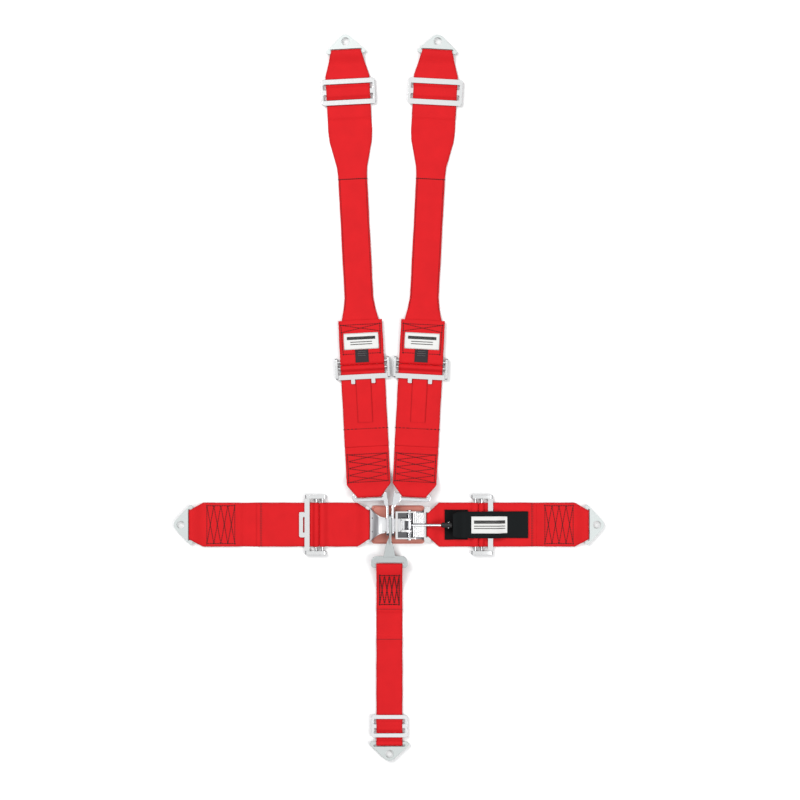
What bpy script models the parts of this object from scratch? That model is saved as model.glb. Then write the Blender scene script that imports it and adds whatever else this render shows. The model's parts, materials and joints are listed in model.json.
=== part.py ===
"""A five-strap racing harness laid out flat, with a lever latch at its middle.

Metres, +Z up, +Y towards the shoulder anchors. The origin is on the resting plane, under
the middle of the tongue that the shoulder and crotch fittings hang on. Each strap is drawn
in its own frame: u across it, v along it away from the buckle, z up from the resting plane.
"""

import math

import bmesh
import bpy
from mathutils import Matrix, Vector

# ---------------------------------------------------------------- driving dimensions
GAP = 0.0003  # between pieces that touch
WEB_T = 0.0014  # one layer of webbing
WEB_HALF = 0.0375  # half of the wide webbing
SLEEVE_HALF = 0.0247  # half of the shoulder strap where its edges are folded in
CROTCH_HALF = 0.0224  # half of the crotch webbing
ANCHOR_NECK_HALF = 0.0255  # half of the webbing where it is gathered into an anchor plate
LINK_NECK_HALF = 0.0250
LATCH_NECK_HALF = 0.0200
SHOULDER_NECK_HALF = 0.0210
NECK_RUN = 0.0190  # how far back from a fitting the gathering runs

LAP_ANCHOR_LEFT = 0.3558  # buckle to the bolt hole
LAP_ANCHOR_RIGHT = 0.3509
LAP_ADJUSTER_LEFT = 0.1455  # buckle to the outer edge of the adjuster
LAP_ADJUSTER_RIGHT = 0.1744
LAP_TAIL_LEFT = LAP_ADJUSTER_LEFT + 0.0811  # where the free end of the webbing stops
LAP_TAIL_RIGHT = LAP_ADJUSTER_RIGHT + 0.0736
LINK_WEB_END = 0.0349
LATCH_WEB_END = 0.0615
ANCHOR_SEWN = 0.0860  # length of the sewn loop at an anchor

SHOULDER_X_LEFT = 0.0020 - WEB_HALF
SHOULDER_X_RIGHT = 0.0025 + WEB_HALF
SHOULDER_START = WEB_HALF + 0.0093  # +Y of the lower end of the shoulder webbing
SHOULDER_TILT = math.radians(3.0)
SHOULDER_HOLE = 0.7745  # lower end of the webbing to the bolt hole
SHOULDER_ADJUSTER = 0.2006
LINK_SEWN = 0.0780
SHOULDER_TAIL = LINK_SEWN + 0.0087
LABEL_END_TOP = SHOULDER_ADJUSTER + 0.1004
STRAP_INSERT = LABEL_END_TOP - 0.0390
SLEEVE_START = LABEL_END_TOP + 0.0390
SLEEVE_FLARE_END = SHOULDER_HOLE - 0.1505
SLEEVE_END = SLEEVE_FLARE_END - 0.0820
SHOULDER_SLIDE = SHOULDER_HOLE - 0.0855  # middle of the three-bar slide
SLIDE_LONG = 0.0445
SLIDE_HALF = WEB_HALF + 0.0085
SHOULDER_RETURN = SHOULDER_HOLE - 0.1265  # where the webbing's returned end stops

CROTCH_X = -0.0015
CROTCH_START = 0.0649
CROTCH_HOLE = 0.3240
CROTCH_SEWN = 0.0794
CROTCH_RETURN = CROTCH_SEWN + 0.0496
CROTCH_SLIDE = CROTCH_HOLE - 0.0471
CROTCH_SLIDE_LONG = 0.0380
CROTCH_SLIDE_HALF = CROTCH_HALF + 0.0084

BAR_HALF = 0.0025  # half width of the bar that a sewn loop turns round
PLATE_T = 0.0030
LOOP_IN = math.hypot(BAR_HALF, PLATE_T / 2) + 0.0002845  # inner radius of a sewn loop
HOLE_R = 0.00675
TIP_R = 0.0115
HOLE_TO_WEB = 0.0137  # bolt hole to the outer face of the webbing loop
PLATE_HALF = ANCHOR_NECK_HALF + 0.0082
PLATE_CORNER = 0.0050

ADJUSTER_LONG = 0.0369
ADJUSTER_BAR_R = 0.0022
ADJUSTER_ROLL_IN = ADJUSTER_BAR_R + GAP
ADJUSTER_SLIDE_AT = 0.0195  # outer edge of the adjuster to its loose bar
ADJUSTER_FIXED_AT = 0.0301  # outer edge of the adjuster to the bar with the sewn loop
ADJUSTER_TOP_BAR = 0.0085
ADJUSTER_RAIL_TOP = 0.0090
LAP_RAIL_IN = WEB_HALF + 0.0070
LAP_RAIL_OUT = LAP_RAIL_IN + 0.0060
SHOULDER_RAIL_IN = WEB_HALF + 0.0045
SHOULDER_RAIL_OUT = SHOULDER_RAIL_IN + 0.0038

TONGUE_Z = 0.0136
TONGUE_HALF = 0.0110
TONGUE_END = 0.0240
LIP_UP = 0.0025
LINK_FLANGE = 0.0050
LOOP_T = 0.0040  # each upright loop on the tongue
LOOP_STEP = 0.0045
LOOP_OPEN = PLATE_T / 2 + 0.0027  # half height of the opening
LOOP_WALL = 0.0030
LOOP_REACH = TONGUE_HALF + 0.0070  # tongue's middle to the far end of a loop

PAD_T = 0.0033
PAD_MIN_X = -0.0320
PAD_MAX_X = 0.0580
PAD_HALF = 0.0325
LATCH_FRONT = 0.0088
LATCH_REAR = 0.0570
LATCH_HALF = 0.0235
LATCH_WALL = 0.0025
LATCH_TOP = 0.0210
LATCH_PLATE_T = 0.0025
LATCH_EAR_HALF = LATCH_NECK_HALF + 0.0100
FRONT_BAR = 0.0040
PIN_X = 0.0323
PIN_Z = 0.0150
PIN_R = 0.0025
HUB_R = 0.0044
LEVER_HUB_HALF = 0.0055
CLAW_HALF = 0.0115
CLAW_PLATE = 0.0040
LEVER_ROD_R = 0.0023
LEVER_ROD_END = 0.0860
COVER_UP = 0.0040
GRIP_END = LEVER_ROD_END + 0.0185
GRIP_R = 0.0048
KEEPER_HALF = 0.0230
KEEPER_START = GRIP_END + 0.0015
KEEPER_HINGE = GRIP_END + 0.0008
KEEPER_END = LAP_ADJUSTER_RIGHT + 0.0596
PATCH_START = 0.0923
PATCH_END = 0.1314
PATCH_HALF = 0.0258
BLACK_T = 0.0016
LABEL_T = 0.0006
LABEL_HALF = 0.0145  # half of the label on the pull strap

# ---------------------------------------------------------------- values worked out
LOOP_MID = LOOP_IN + WEB_T / 2
LOOP_OUT = LOOP_IN + WEB_T
FIRST_Z = GAP + WEB_T / 2  # middle of the lowest layer
SECOND_Z = FIRST_Z + WEB_T + GAP
THIRD_Z = SECOND_Z + WEB_T + GAP
LOW_BAR_Z = FIRST_Z + LOOP_MID
ROLL_MID = ADJUSTER_ROLL_IN + WEB_T / 2
ADJUSTER_Z = FIRST_Z + ROLL_MID
STACK_TOP = SECOND_Z + WEB_T / 2
SLIDE_BASE = STACK_TOP + GAP
SLIDE_T = 0.0025
SLOT_REACH = LOOP_OUT + 0.0008  # bar's middle to the far edge of its slot
SLOT_SIDE = 0.0015  # side clearance of a slot round the webbing


def clear_scene():
    for item in list(bpy.data.objects):
        bpy.data.objects.remove(item, do_unlink=True)


def make_material(name, colour, roughness, metallic):
    material = bpy.data.materials.new(name)
    material.use_nodes = True
    shader = material.node_tree.nodes["Principled BSDF"]
    shader.inputs["Base Color"].default_value = (*colour, 1.0)
    shader.inputs["Roughness"].default_value = roughness
    shader.inputs["Metallic"].default_value = metallic
    return material


clear_scene()
RED = make_material("red_webbing", (0.74, 0.018, 0.022), 0.75, 0.0)
DARK_RED = make_material("pad_leather", (0.52, 0.12, 0.10), 0.55, 0.0)
BLACK = make_material("black_webbing", (0.012, 0.012, 0.013), 0.8, 0.0)
WHITE = make_material("label_cloth", (0.82, 0.82, 0.80), 0.7, 0.0)
GREY = make_material("care_tag", (0.05, 0.05, 0.055), 0.6, 0.0)
CHROME = make_material("chromed_steel", (0.86, 0.87, 0.88), 0.12, 1.0)
ZINC = make_material("zinc_plate", (0.62, 0.66, 0.67), 0.38, 1.0)
SATIN = make_material("plated_bar", (0.80, 0.83, 0.84), 0.28, 1.0)
RUBBER = make_material("black_grip", (0.015, 0.015, 0.016), 0.6, 0.0)


# ---------------------------------------------------------------- frames and bodies
def strap_frame(x, y, heading):
    """A strap's frame: v points along the heading, u to its right, z up."""
    along = Vector((math.cos(heading), math.sin(heading), 0))
    across = Vector((math.sin(heading), -math.cos(heading), 0))
    frame = Matrix((across, along, Vector((0, 0, 1)))).transposed().to_4x4()
    frame.translation = Vector((x, y, 0))
    return frame


WORLD = Matrix.Identity(4)
LAP_LEFT = strap_frame(0, 0, math.pi)
LAP_RIGHT = strap_frame(0, 0, 0)
SHOULDER_LEFT = strap_frame(SHOULDER_X_LEFT, SHOULDER_START, math.pi / 2 + SHOULDER_TILT)
SHOULDER_RIGHT = strap_frame(SHOULDER_X_RIGHT, SHOULDER_START, math.pi / 2 - SHOULDER_TILT)
CROTCH = strap_frame(CROTCH_X, -CROTCH_START, -math.pi / 2)


def make_body(name, frame, pivot):
    """An empty on the body's joint axis, turned as the strap is."""
    empty = bpy.data.objects.new(name, None)
    bpy.context.collection.objects.link(empty)
    empty.matrix_world = frame @ Matrix.Translation(pivot)
    return {"empty": empty, "pivot": Vector(pivot)}


def add_piece(name, mesh, material, body):
    """Places a mesh drawn in a strap's frame under that strap's body."""
    mesh.name = name
    mesh.materials.clear()
    mesh.materials.append(material)
    piece = bpy.data.objects.new(name, mesh)
    bpy.context.collection.objects.link(piece)
    piece.parent = body["empty"]
    piece.location = -body["pivot"]
    return piece


# ---------------------------------------------------------------- mesh makers
def mesh_from(vertices, faces):
    mesh = bpy.data.meshes.new("shape")
    mesh.from_pydata([tuple(point) for point in vertices], [], faces)
    shape = bmesh.new()
    shape.from_mesh(mesh)
    bmesh.ops.recalc_face_normals(shape, faces=shape.faces)
    shape.to_mesh(mesh)
    shape.free()
    return mesh


def sweep(sections):
    """A closed body through sections that each have the same number of corners."""
    count = len(sections[0])
    vertices = [point for section in sections for point in section]
    faces = [tuple(range(count))]
    for row in range(len(sections) - 1):
        for k in range(count):
            a = row * count + k
            b = row * count + (k + 1) % count
            faces.append((a, a + count, b + count, b))
    faces.append(tuple(reversed(range(len(vertices) - count, len(vertices)))))
    return mesh_from(vertices, faces)


def interpolate(table, at):
    """The value at a place in a table of (place, value) pairs, straight between them."""
    for (low, first), (high, second) in zip(table, table[1:]):
        if at <= high:
            share = max(0.0, at - low) / (high - low)
            return first + (second - first) * share
    return table[-1][1]


def with_breaks(path, table):
    """The path with a point added wherever it passes a place named in the width table."""
    full = [path[0]]
    for start, end in zip(path, path[1:]):
        inside = [v for v, _ in table if min(start[0], end[0]) < v < max(start[0], end[0])]
        for v in sorted(inside, reverse=start[0] > end[0]):
            share = (v - start[0]) / (end[0] - start[0])
            full.append((v, start[1] + (end[1] - start[1]) * share))
        full.append(end)
    return full


def ribbon(path, widths, thickness):
    """Webbing along a path of (v, z); widths and thickness are tables along v."""
    path = with_breaks(path, widths)
    sections = []
    for i, (v, z) in enumerate(path):
        before = Vector(path[max(i - 1, 0)])
        after = Vector(path[min(i + 1, len(path) - 1)])
        along = (after - before).normalized()
        up = Vector((-along.y, along.x)) * interpolate(thickness, v) / 2
        half = interpolate(widths, v)
        low = (v - up.x, z - up.y)
        high = (v + up.x, z + up.y)
        sections.append([(-half, *low), (half, *low), (half, *high), (-half, *high)])
    return sweep(sections)


def ease(start, end, steps=5):
    """Points from one (v, z) to another that leave and arrive level."""
    points = []
    for k in range(steps + 1):
        share = k / steps
        rise = (1 - math.cos(math.pi * share)) / 2
        points.append((start[0] + (end[0] - start[0]) * share, start[1] + (end[1] - start[1]) * rise))
    return points


def arc(centre, radius, start, end, steps=8):
    """Points on an arc between two angles in degrees."""
    points = []
    for k in range(steps + 1):
        angle = math.radians(start + (end - start) * k / steps)
        points.append((centre[0] + radius * math.cos(angle), centre[1] + radius * math.sin(angle)))
    return points


def rounded(corners, steps=3):
    """A closed outline through (x, y, radius) corners, each cut by an arc."""
    outline = []
    count = len(corners)
    for i, (x, y, radius) in enumerate(corners):
        here = Vector((x, y))
        back = (Vector(corners[i - 1][:2]) - here).normalized()
        ahead = (Vector(corners[(i + 1) % count][:2]) - here).normalized()
        if radius == 0:
            outline.append((x, y))
            continue
        half = back.angle(ahead) / 2
        centre = here + (back + ahead).normalized() * radius / math.sin(half)
        start = here + back * radius / math.tan(half) - centre
        turn = start.angle_signed(here + ahead * radius / math.tan(half) - centre)
        for k in range(steps + 1):
            point = centre + Matrix.Rotation(-turn * k / steps, 2) @ start
            outline.append((point.x, point.y))
    return outline


def circle(x, y, radius, steps=20):
    return [
        (x + radius * math.cos(math.tau * k / steps), y + radius * math.sin(math.tau * k / steps))
        for k in range(steps)
    ]


def rectangle(x0, x1, y0, y1, radius=0.0, steps=3):
    corners = [(x0, y0, radius), (x1, y0, radius), (x1, y1, radius), (x0, y1, radius)]
    return rounded(corners, steps)


def plate(outlines, bottom, top):
    """A flat plate: the first outline is its edge and the others are holes."""
    curve = bpy.data.curves.new("plate", "CURVE")
    curve.dimensions = "2D"
    curve.fill_mode = "BOTH"
    curve.extrude = (top - bottom) / 2
    for outline in outlines:
        spline = curve.splines.new("POLY")
        spline.points.add(len(outline) - 1)
        for point, (x, y) in zip(spline.points, outline):
            point.co = (x, y, 0, 1)
        spline.use_cyclic_u = True
    holder = bpy.data.objects.new("plate", curve)
    mesh = bpy.data.meshes.new_from_object(holder)
    bpy.data.objects.remove(holder)
    bpy.data.curves.remove(curve)
    shape = bmesh.new()
    shape.from_mesh(mesh)
    bmesh.ops.remove_doubles(shape, verts=shape.verts, dist=1e-6)
    bmesh.ops.translate(shape, verts=shape.verts, vec=(0, 0, (top + bottom) / 2))
    bmesh.ops.recalc_face_normals(shape, faces=shape.faces)
    shape.to_mesh(mesh)
    shape.free()
    return mesh


def box(x0, x1, y0, y1, z0, z1):
    return plate([rectangle(x0, x1, y0, y1)], z0, z1)


def turned(mesh, matrix):
    mesh.transform(matrix)
    return mesh


# Swap axes so that a plate's outline (x, y) and depth land on other axes.
SIDE_ON = Matrix(((0, 0, 1, 0), (1, 0, 0, 0), (0, 1, 0, 0), (0, 0, 0, 1)))  # outline in v and z
ALONG_Y = Matrix(((1, 0, 0, 0), (0, 0, -1, 0), (0, 1, 0, 0), (0, 0, 0, 1)))  # outline in x and z


def rod(radius, low, high, place, axis="x", steps=12):
    """A round rod along x or y through a place given by its two other coordinates."""
    swap = SIDE_ON if axis == "x" else ALONG_Y
    mesh = plate([circle(place[0], place[1], radius, steps)], low, high)
    return turned(mesh, swap)


def helper(mesh):
    item = bpy.data.objects.new("helper", mesh)
    bpy.context.collection.objects.link(item)
    item.hide_render = True
    item.display_type = "WIRE"
    return item


def combine(base, others, operation="UNION"):
    """One mesh from a base and others, joined or cut away one after another."""
    holder = helper(base)
    used = []
    for mesh in others:
        other = helper(mesh)
        used.append(other)
        step = holder.modifiers.new("step", "BOOLEAN")
        step.operation = operation
        step.object = other
    bpy.context.view_layer.update()
    graph = bpy.context.evaluated_depsgraph_get()
    result = bpy.data.meshes.new_from_object(holder.evaluated_get(graph))
    for item in [holder, *used]:
        bpy.data.objects.remove(item, do_unlink=True)
    shape = bmesh.new()
    shape.from_mesh(result)
    bmesh.ops.remove_doubles(shape, verts=shape.verts, dist=2e-6)
    shape.to_mesh(result)
    shape.free()
    return result


# ---------------------------------------------------------------- shared fittings
def anchor_plate(name, hole_v, body):
    """A bolt-in plate: round tip with its hole, straight sides, slot and loop bar."""
    bar_v = hole_v - HOLE_TO_WEB - LOOP_OUT
    back = bar_v - BAR_HALF
    side = math.atan2(PLATE_HALF - TIP_R, hole_v - back)
    outline = arc((0, hole_v), TIP_R, math.degrees(side), 180 - math.degrees(side), 10)
    corner = back + PLATE_CORNER
    inner = PLATE_HALF - PLATE_CORNER
    outline += arc((-inner, corner), PLATE_CORNER, 180, 270, 3)
    outline += arc((inner, corner), PLATE_CORNER, 270, 360, 3)
    slot_half = ANCHOR_NECK_HALF + SLOT_SIDE
    slot = rectangle(-slot_half, slot_half, bar_v + BAR_HALF, bar_v + SLOT_REACH + GAP, 0.0012)
    mesh = plate(
        [outline, circle(0, hole_v, HOLE_R), slot],
        LOW_BAR_Z - PLATE_T / 2,
        LOW_BAR_Z + PLATE_T / 2,
    )
    return add_piece(name, mesh, ZINC, body)


def adjuster_frame(name, edge, away, rail_in, rail_out, with_tab, body):
    """Two side rails, a round fixed bar and a flat top bar; away is +1 where v falls off it."""

    def v_at(a):
        return edge - away * a

    def span(a0, a1):
        return sorted((v_at(a0), v_at(a1)))

    rail_ends = span(0.0008, ADJUSTER_LONG)
    bar_ends = span(0, ADJUSTER_TOP_BAR)
    rail = rounded(
        [
            (rail_ends[0], GAP, 0.0015),
            (rail_ends[1], GAP, 0.0015),
            (rail_ends[1], ADJUSTER_RAIL_TOP, 0.0035),
            (rail_ends[0], ADJUSTER_RAIL_TOP, 0.0035),
        ]
    )
    rails = [
        turned(plate([rail], low, high), SIDE_ON)
        for low, high in ((-rail_out, -rail_in), (rail_in, rail_out))
    ]
    bar_low = SLIDE_BASE
    bar_high = SLIDE_BASE + 0.0023
    top = rectangle(-rail_in - 0.001, rail_in + 0.001, *bar_ends)
    if with_tab:
        tab = span(-0.0092, 0.0010)
        hole = span(-0.0026, 0.0)
        shapes = [
            plate(
                [
                    rectangle(-0.0215, 0.0215, *tab, 0.003),
                    rectangle(-0.0134, 0.0134, *hole, 0.0010),
                ],
                bar_low,
                bar_high,
            )
        ]
    else:
        prong = span(-0.0076, 0.0010)
        shapes = [
            plate([rectangle(u - 0.0034, u + 0.0034, *prong, 0.0015)], bar_low, bar_high)
            for u in (-0.0172, 0.0172)
        ]
    fixed = rod(ADJUSTER_BAR_R, -rail_in - 0.001, rail_in + 0.001, (v_at(ADJUSTER_FIXED_AT), ADJUSTER_Z))
    mesh = combine(plate([top], bar_low, bar_high), [*shapes, *rails, fixed])
    return add_piece(name, mesh, SATIN, body)


def loose_bar(name, edge, away, rail_in, body):
    """The knurled bar that grips the webbing, between the rails."""
    place = (edge - away * ADJUSTER_SLIDE_AT, ADJUSTER_Z)
    mesh = rod(ADJUSTER_BAR_R, -rail_in + GAP, rail_in - GAP, place)
    return add_piece(name, mesh, SATIN, body)


def adjuster_roll(edge, away):
    """The running webbing's path from the main run, round the loose bar and out again."""
    centre_v = edge - away * ADJUSTER_SLIDE_AT
    straight = 0.0041
    bend = 0.0030
    turn = [(a, z) for a, z in arc((0, ADJUSTER_Z), ROLL_MID, -90, 135, 9)]
    last = turn[-1]
    diagonal = math.cos(math.radians(45))
    drop_to = (last[0] - straight * diagonal, last[1] - straight * diagonal)
    foot = (drop_to[0] - bend * diagonal, drop_to[1] + bend * diagonal)
    turn += arc((foot[0], SECOND_Z + bend), bend, -45, -90, 3)
    return [(centre_v - away * a, z) for a, z in turn]


def three_bar_slide(name, middle, long, half, bar, body):
    """A stamped slide with two slots, so that it has two outer bars and a middle one."""
    rail = half - 0.0042
    slots = []
    for side in (-1, 1):
        near = middle + side * bar / 2
        far = middle + side * (long / 2 - bar)
        slots.append(rectangle(-rail, rail, min(near, far), max(near, far), 0.0015))
    outline = rectangle(-half, half, middle - long / 2, middle + long / 2, 0.004)
    mesh = plate([outline, *slots], SLIDE_BASE, SLIDE_BASE + SLIDE_T)
    return add_piece(name, mesh, SATIN, body)


def slide_webbing(name, middle, long, bar, width, body):
    """The stretch of webbing that is over a slide's middle bar at any one time."""
    reach = long / 2 - bar - GAP * 3
    low = SLIDE_BASE + WEB_T / 2
    high = SLIDE_BASE + SLIDE_T + GAP + WEB_T / 2
    flat = bar / 2 + 0.0008
    path = ease((middle - reach, low), (middle - flat, high), 4)
    path += ease((middle + flat, high), (middle + reach, low), 4)
    mesh = ribbon(path, [(0, width), (1, width)], [(0, WEB_T)])
    return add_piece(name, mesh, RED, body)


# ---------------------------------------------------------------- bodies
root = make_body("buckle", WORLD, (0, 0, 0))
lever = make_body("lever", LAP_RIGHT, (0, PIN_X, PIN_Z))
claw = make_body("claw", LAP_RIGHT, (0, PIN_X, PIN_Z))


# ---------------------------------------------------------------- buckle
def link_height(x):
    """Middle height of the link plate: low at its webbing bar, high at the tongue."""
    start = -LINK_WEB_END - 0.001
    end = -0.0160
    share = min(1.0, max(0.0, (x - start) / (end - start)))
    return LOW_BAR_Z + (TONGUE_Z - LOW_BAR_Z) * share * share * (3 - 2 * share)


def make_link_plate():
    bar = -LINK_WEB_END - LOOP_OUT
    back = bar - BAR_HALF
    slot_half = LINK_NECK_HALF + SLOT_SIDE
    widest = slot_half + 0.0050
    shoulder = -0.0085
    stations = [
        (back, widest - 0.002, 0),
        (back + 0.002, widest, 0),
        (-0.0345, 0.0300, 0.3),
        (-0.0300, 0.0248, 0.8),
        (-0.0258, 0.0206, 1),
        (-0.0215, 0.0172, 1),
        (-0.0172, 0.0148, 1),
        (-0.0125, 0.0134, 1),
        (shoulder, 0.0128, 1),
        (shoulder + 0.0003, TONGUE_HALF, 0),
        (TONGUE_END, TONGUE_HALF, 0),
    ]
    rim = 0.0020
    sections = []
    for x, half, up in stations:
        middle = link_height(x)
        low = middle - PLATE_T / 2
        high = middle + PLATE_T / 2
        top = high + GAP + LINK_FLANGE * up
        corners = [
            (-half, low),
            (half, low),
            (half, top),
            (half - rim, top),
            (half - rim, high),
            (rim - half, high),
            (rim - half, top),
            (-half, top),
        ]
        sections.append([(x, y, z) for y, z in corners])
    body = sweep(sections)
    lip_low = TONGUE_Z - PLATE_T / 2 + 0.0005
    lip_high = TONGUE_Z + PLATE_T / 2 + LIP_UP
    lip = box(TONGUE_END - 0.0025, TONGUE_END + 0.0001, -TONGUE_HALF, TONGUE_HALF, lip_low, lip_high)
    body = combine(body, [lip])
    slot = plate(
        [rectangle(bar + BAR_HALF, bar + SLOT_REACH + GAP, -slot_half, slot_half, 0.001)], -0.01, 0.03
    )
    return combine(body, [slot], "DIFFERENCE")


def make_latch_base():
    low = LOW_BAR_Z - LATCH_PLATE_T / 2
    high = LOW_BAR_Z + LATCH_PLATE_T / 2
    bar = LATCH_WEB_END + LOOP_OUT
    back = bar + BAR_HALF
    slot_half = LATCH_NECK_HALF + SLOT_SIDE
    floor = rounded(
        [
            (LATCH_FRONT, -LATCH_HALF, 0),
            (LATCH_REAR - 0.002, -LATCH_HALF, 0.004),
            (LATCH_REAR + 0.004, -LATCH_EAR_HALF, 0.003),
            (back, -LATCH_EAR_HALF, 0.004),
            (back, LATCH_EAR_HALF, 0.004),
            (LATCH_REAR + 0.004, LATCH_EAR_HALF, 0.003),
            (LATCH_REAR - 0.002, LATCH_HALF, 0.004),
            (LATCH_FRONT, LATCH_HALF, 0),
        ]
    )
    slot = rectangle(bar - SLOT_REACH - GAP, bar - BAR_HALF, -slot_half, slot_half, 0.001)
    base = plate([floor, slot], low, high)
    wall = rounded(
        [
            (LATCH_FRONT, low + 0.0002, 0),
            (LATCH_REAR, low + 0.0002, 0),
            (LATCH_REAR, PIN_Z - 0.003, 0.002),
            (PIN_X + 0.010, LATCH_TOP, 0.004),
            (LATCH_FRONT, LATCH_TOP, 0.001),
        ]
    )
    pin_hole = circle(PIN_X, PIN_Z, PIN_R + GAP, 16)
    inner = LATCH_HALF - LATCH_WALL
    walls = [
        turned(plate([wall, pin_hole], near, far), ALONG_Y)
        for near, far in ((-LATCH_HALF + 0.0001, -inner), (inner, LATCH_HALF - 0.0001))
    ]
    bridge = box(
        LATCH_FRONT + 0.0001,
        LATCH_FRONT + FRONT_BAR,
        -inner - 0.001,
        inner + 0.001,
        LATCH_TOP - 0.003,
        LATCH_TOP - 0.0001,
    )
    return combine(base, [*walls, bridge])


def make_cover():
    """A fluted plate between the walls, its ribs running across the latch."""
    start = PIN_X + HUB_R + 0.0010
    end = LATCH_REAR + 0.0015
    low = LOW_BAR_Z + LATCH_PLATE_T / 2 + GAP
    top = low + COVER_UP
    ribs = 6
    pitch = (end - start) / ribs
    outline = [(end, low), (start, low)]
    for rib in range(ribs):
        for k in range(5):
            share = k / 5
            outline.append((start + (rib + share) * pitch, top + 0.0010 * math.sin(math.pi * share)))
    outline.append((end, top))
    half = LATCH_HALF - LATCH_WALL - GAP
    return turned(plate([outline], -half, half), ALONG_Y)


def make_pin():
    """A riveted pin: its shank passes both walls and its heads stand outside them."""
    half = LATCH_HALF + GAP
    head = 0.0016
    radius = PIN_R + 0.0018
    shank = rod(PIN_R, -half - 0.0005, half + 0.0005, (PIN_X, PIN_Z), "y", 16)
    heads = [
        rod(radius, -half - head, -half, (PIN_X, PIN_Z), "y", 16),
        rod(radius, half, half + head, (PIN_X, PIN_Z), "y", 16),
    ]
    return combine(shank, heads)


def make_claw():
    """Two hooked arms on the pin, joined by the nose that holds the tongue's lip."""
    hub = PIN_R + GAP
    outer = HUB_R
    nose_right = TONGUE_END - 0.0025 - 0.0009
    nose_left = nose_right - 0.0033
    nose_low = TONGUE_Z + PLATE_T / 2 + 0.0004
    over = TONGUE_Z + PLATE_T / 2 + LIP_UP + 0.0012
    crown = over + 0.0026
    arm = arc((PIN_X, PIN_Z), outer, -140, 75, 10)
    arm += [(PIN_X - 0.004, crown), (nose_left + 0.0015, crown), (nose_left, crown - 0.0015)]
    arm += [(nose_left, over), (PIN_X - 0.0060, over)]
    hole = circle(PIN_X, PIN_Z, hub, 16)
    near = CLAW_HALF - CLAW_PLATE
    arms = [
        turned(plate([arm, hole], low, high), ALONG_Y)
        for low, high in ((-CLAW_HALF, -near), (near, CLAW_HALF))
    ]
    nose = box(
        nose_left + 0.0001, nose_right, -CLAW_HALF + 0.0001, CLAW_HALF - 0.0001, nose_low, crown - 0.0016
    )
    return combine(nose, arms)


def make_lever():
    """A collar on the pin with the lever's rod standing out of its side."""
    ring = plate(
        [circle(PIN_X, PIN_Z, HUB_R, 20), circle(PIN_X, PIN_Z, PIN_R + GAP, 16)],
        -LEVER_HUB_HALF,
        LEVER_HUB_HALF,
    )
    root_x = PIN_X + (PIN_R + GAP + HUB_R) / 2
    stations = [
        (root_x, PIN_Z, LEVER_ROD_R),
        (LEVER_ROD_END - 0.0010, PIN_Z, LEVER_ROD_R),
        (LEVER_ROD_END, PIN_Z, LEVER_ROD_R * 0.8),
    ]
    return combine(turned(ring, ALONG_Y), [round_bar(stations)])


def round_bar(stations, steps=12):
    """A round bar along x through (x, middle height, radius) stations."""
    sections = []
    for x, z, radius in stations:
        section = []
        for k in range(steps):
            angle = math.tau * k / steps
            section.append((x, radius * math.cos(angle), z + radius * math.sin(angle)))
        sections.append(section)
    return sweep(sections)


def torsion_spring(near, far):
    """The outer shape of a spring wound on the pin."""
    rings = [circle(PIN_X, PIN_Z, HUB_R + 0.0001, 16), circle(PIN_X, PIN_Z, PIN_R + GAP, 16)]
    return turned(plate(rings, near, far), ALONG_Y)


def build_buckle():
    add_piece("link_plate", make_link_plate(), CHROME, root)
    pad = plate([rectangle(PAD_MIN_X, PAD_MAX_X, -PAD_HALF, PAD_HALF, 0.004)], 0, PAD_T)
    add_piece("buckle_pad", pad, DARK_RED, root)
    add_piece("latch_base", make_latch_base(), CHROME, root)
    add_piece("latch_pin", make_pin(), CHROME, root)
    add_piece("latch_cover", make_cover(), CHROME, root)
    spring_near = CLAW_HALF + GAP
    spring_far = LATCH_HALF - LATCH_WALL - GAP
    add_piece("latch_spring_upper", torsion_spring(-spring_far, -spring_near), CHROME, root)
    add_piece("latch_spring_lower", torsion_spring(spring_near, spring_far), CHROME, root)
    to_right = LAP_RIGHT.inverted()
    add_piece("latch_claw", turned(make_claw(), to_right), CHROME, claw)
    add_piece("lever_rod", turned(make_lever(), to_right), CHROME, lever)
    grip_z = PIN_Z
    start = LEVER_ROD_END + GAP
    grip = [
        (start, grip_z, GRIP_R * 0.6),
        (start + 0.002, grip_z, GRIP_R * 0.9),
        ((start + GRIP_END) / 2, grip_z, GRIP_R),
        (GRIP_END - 0.002, grip_z, GRIP_R * 0.9),
        (GRIP_END, grip_z, GRIP_R * 0.6),
    ]
    add_piece("lever_grip", turned(round_bar(grip), to_right), RUBBER, lever)


# ---------------------------------------------------------------- upright loops on the tongue
def upright_loop(side, neck_end):
    """The loop in a fitting's end that stands on edge round the tongue; side is +1 or -1 in Y."""
    outer = LOOP_OPEN + LOOP_WALL
    far = -(LOOP_REACH - outer)
    near = TONGUE_HALF + 0.0010
    edge = arc((far, TONGUE_Z), outer, 270, 90, 8)
    edge += [(near, TONGUE_Z + outer), (neck_end, TONGUE_Z + 0.0020)]
    edge += [(neck_end, TONGUE_Z - 0.0020), (near, TONGUE_Z - outer)]
    hole_far = far + 0.0002
    opening = arc((hole_far, TONGUE_Z), LOOP_OPEN, 270, 90, 6)
    opening += arc((near, TONGUE_Z), LOOP_OPEN, 90, -90, 6)
    outlines = [[(side * y, z) for y, z in shape] for shape in (edge, opening)]
    return turned(plate(outlines, -LOOP_T / 2, LOOP_T / 2), SIDE_ON)


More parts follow.
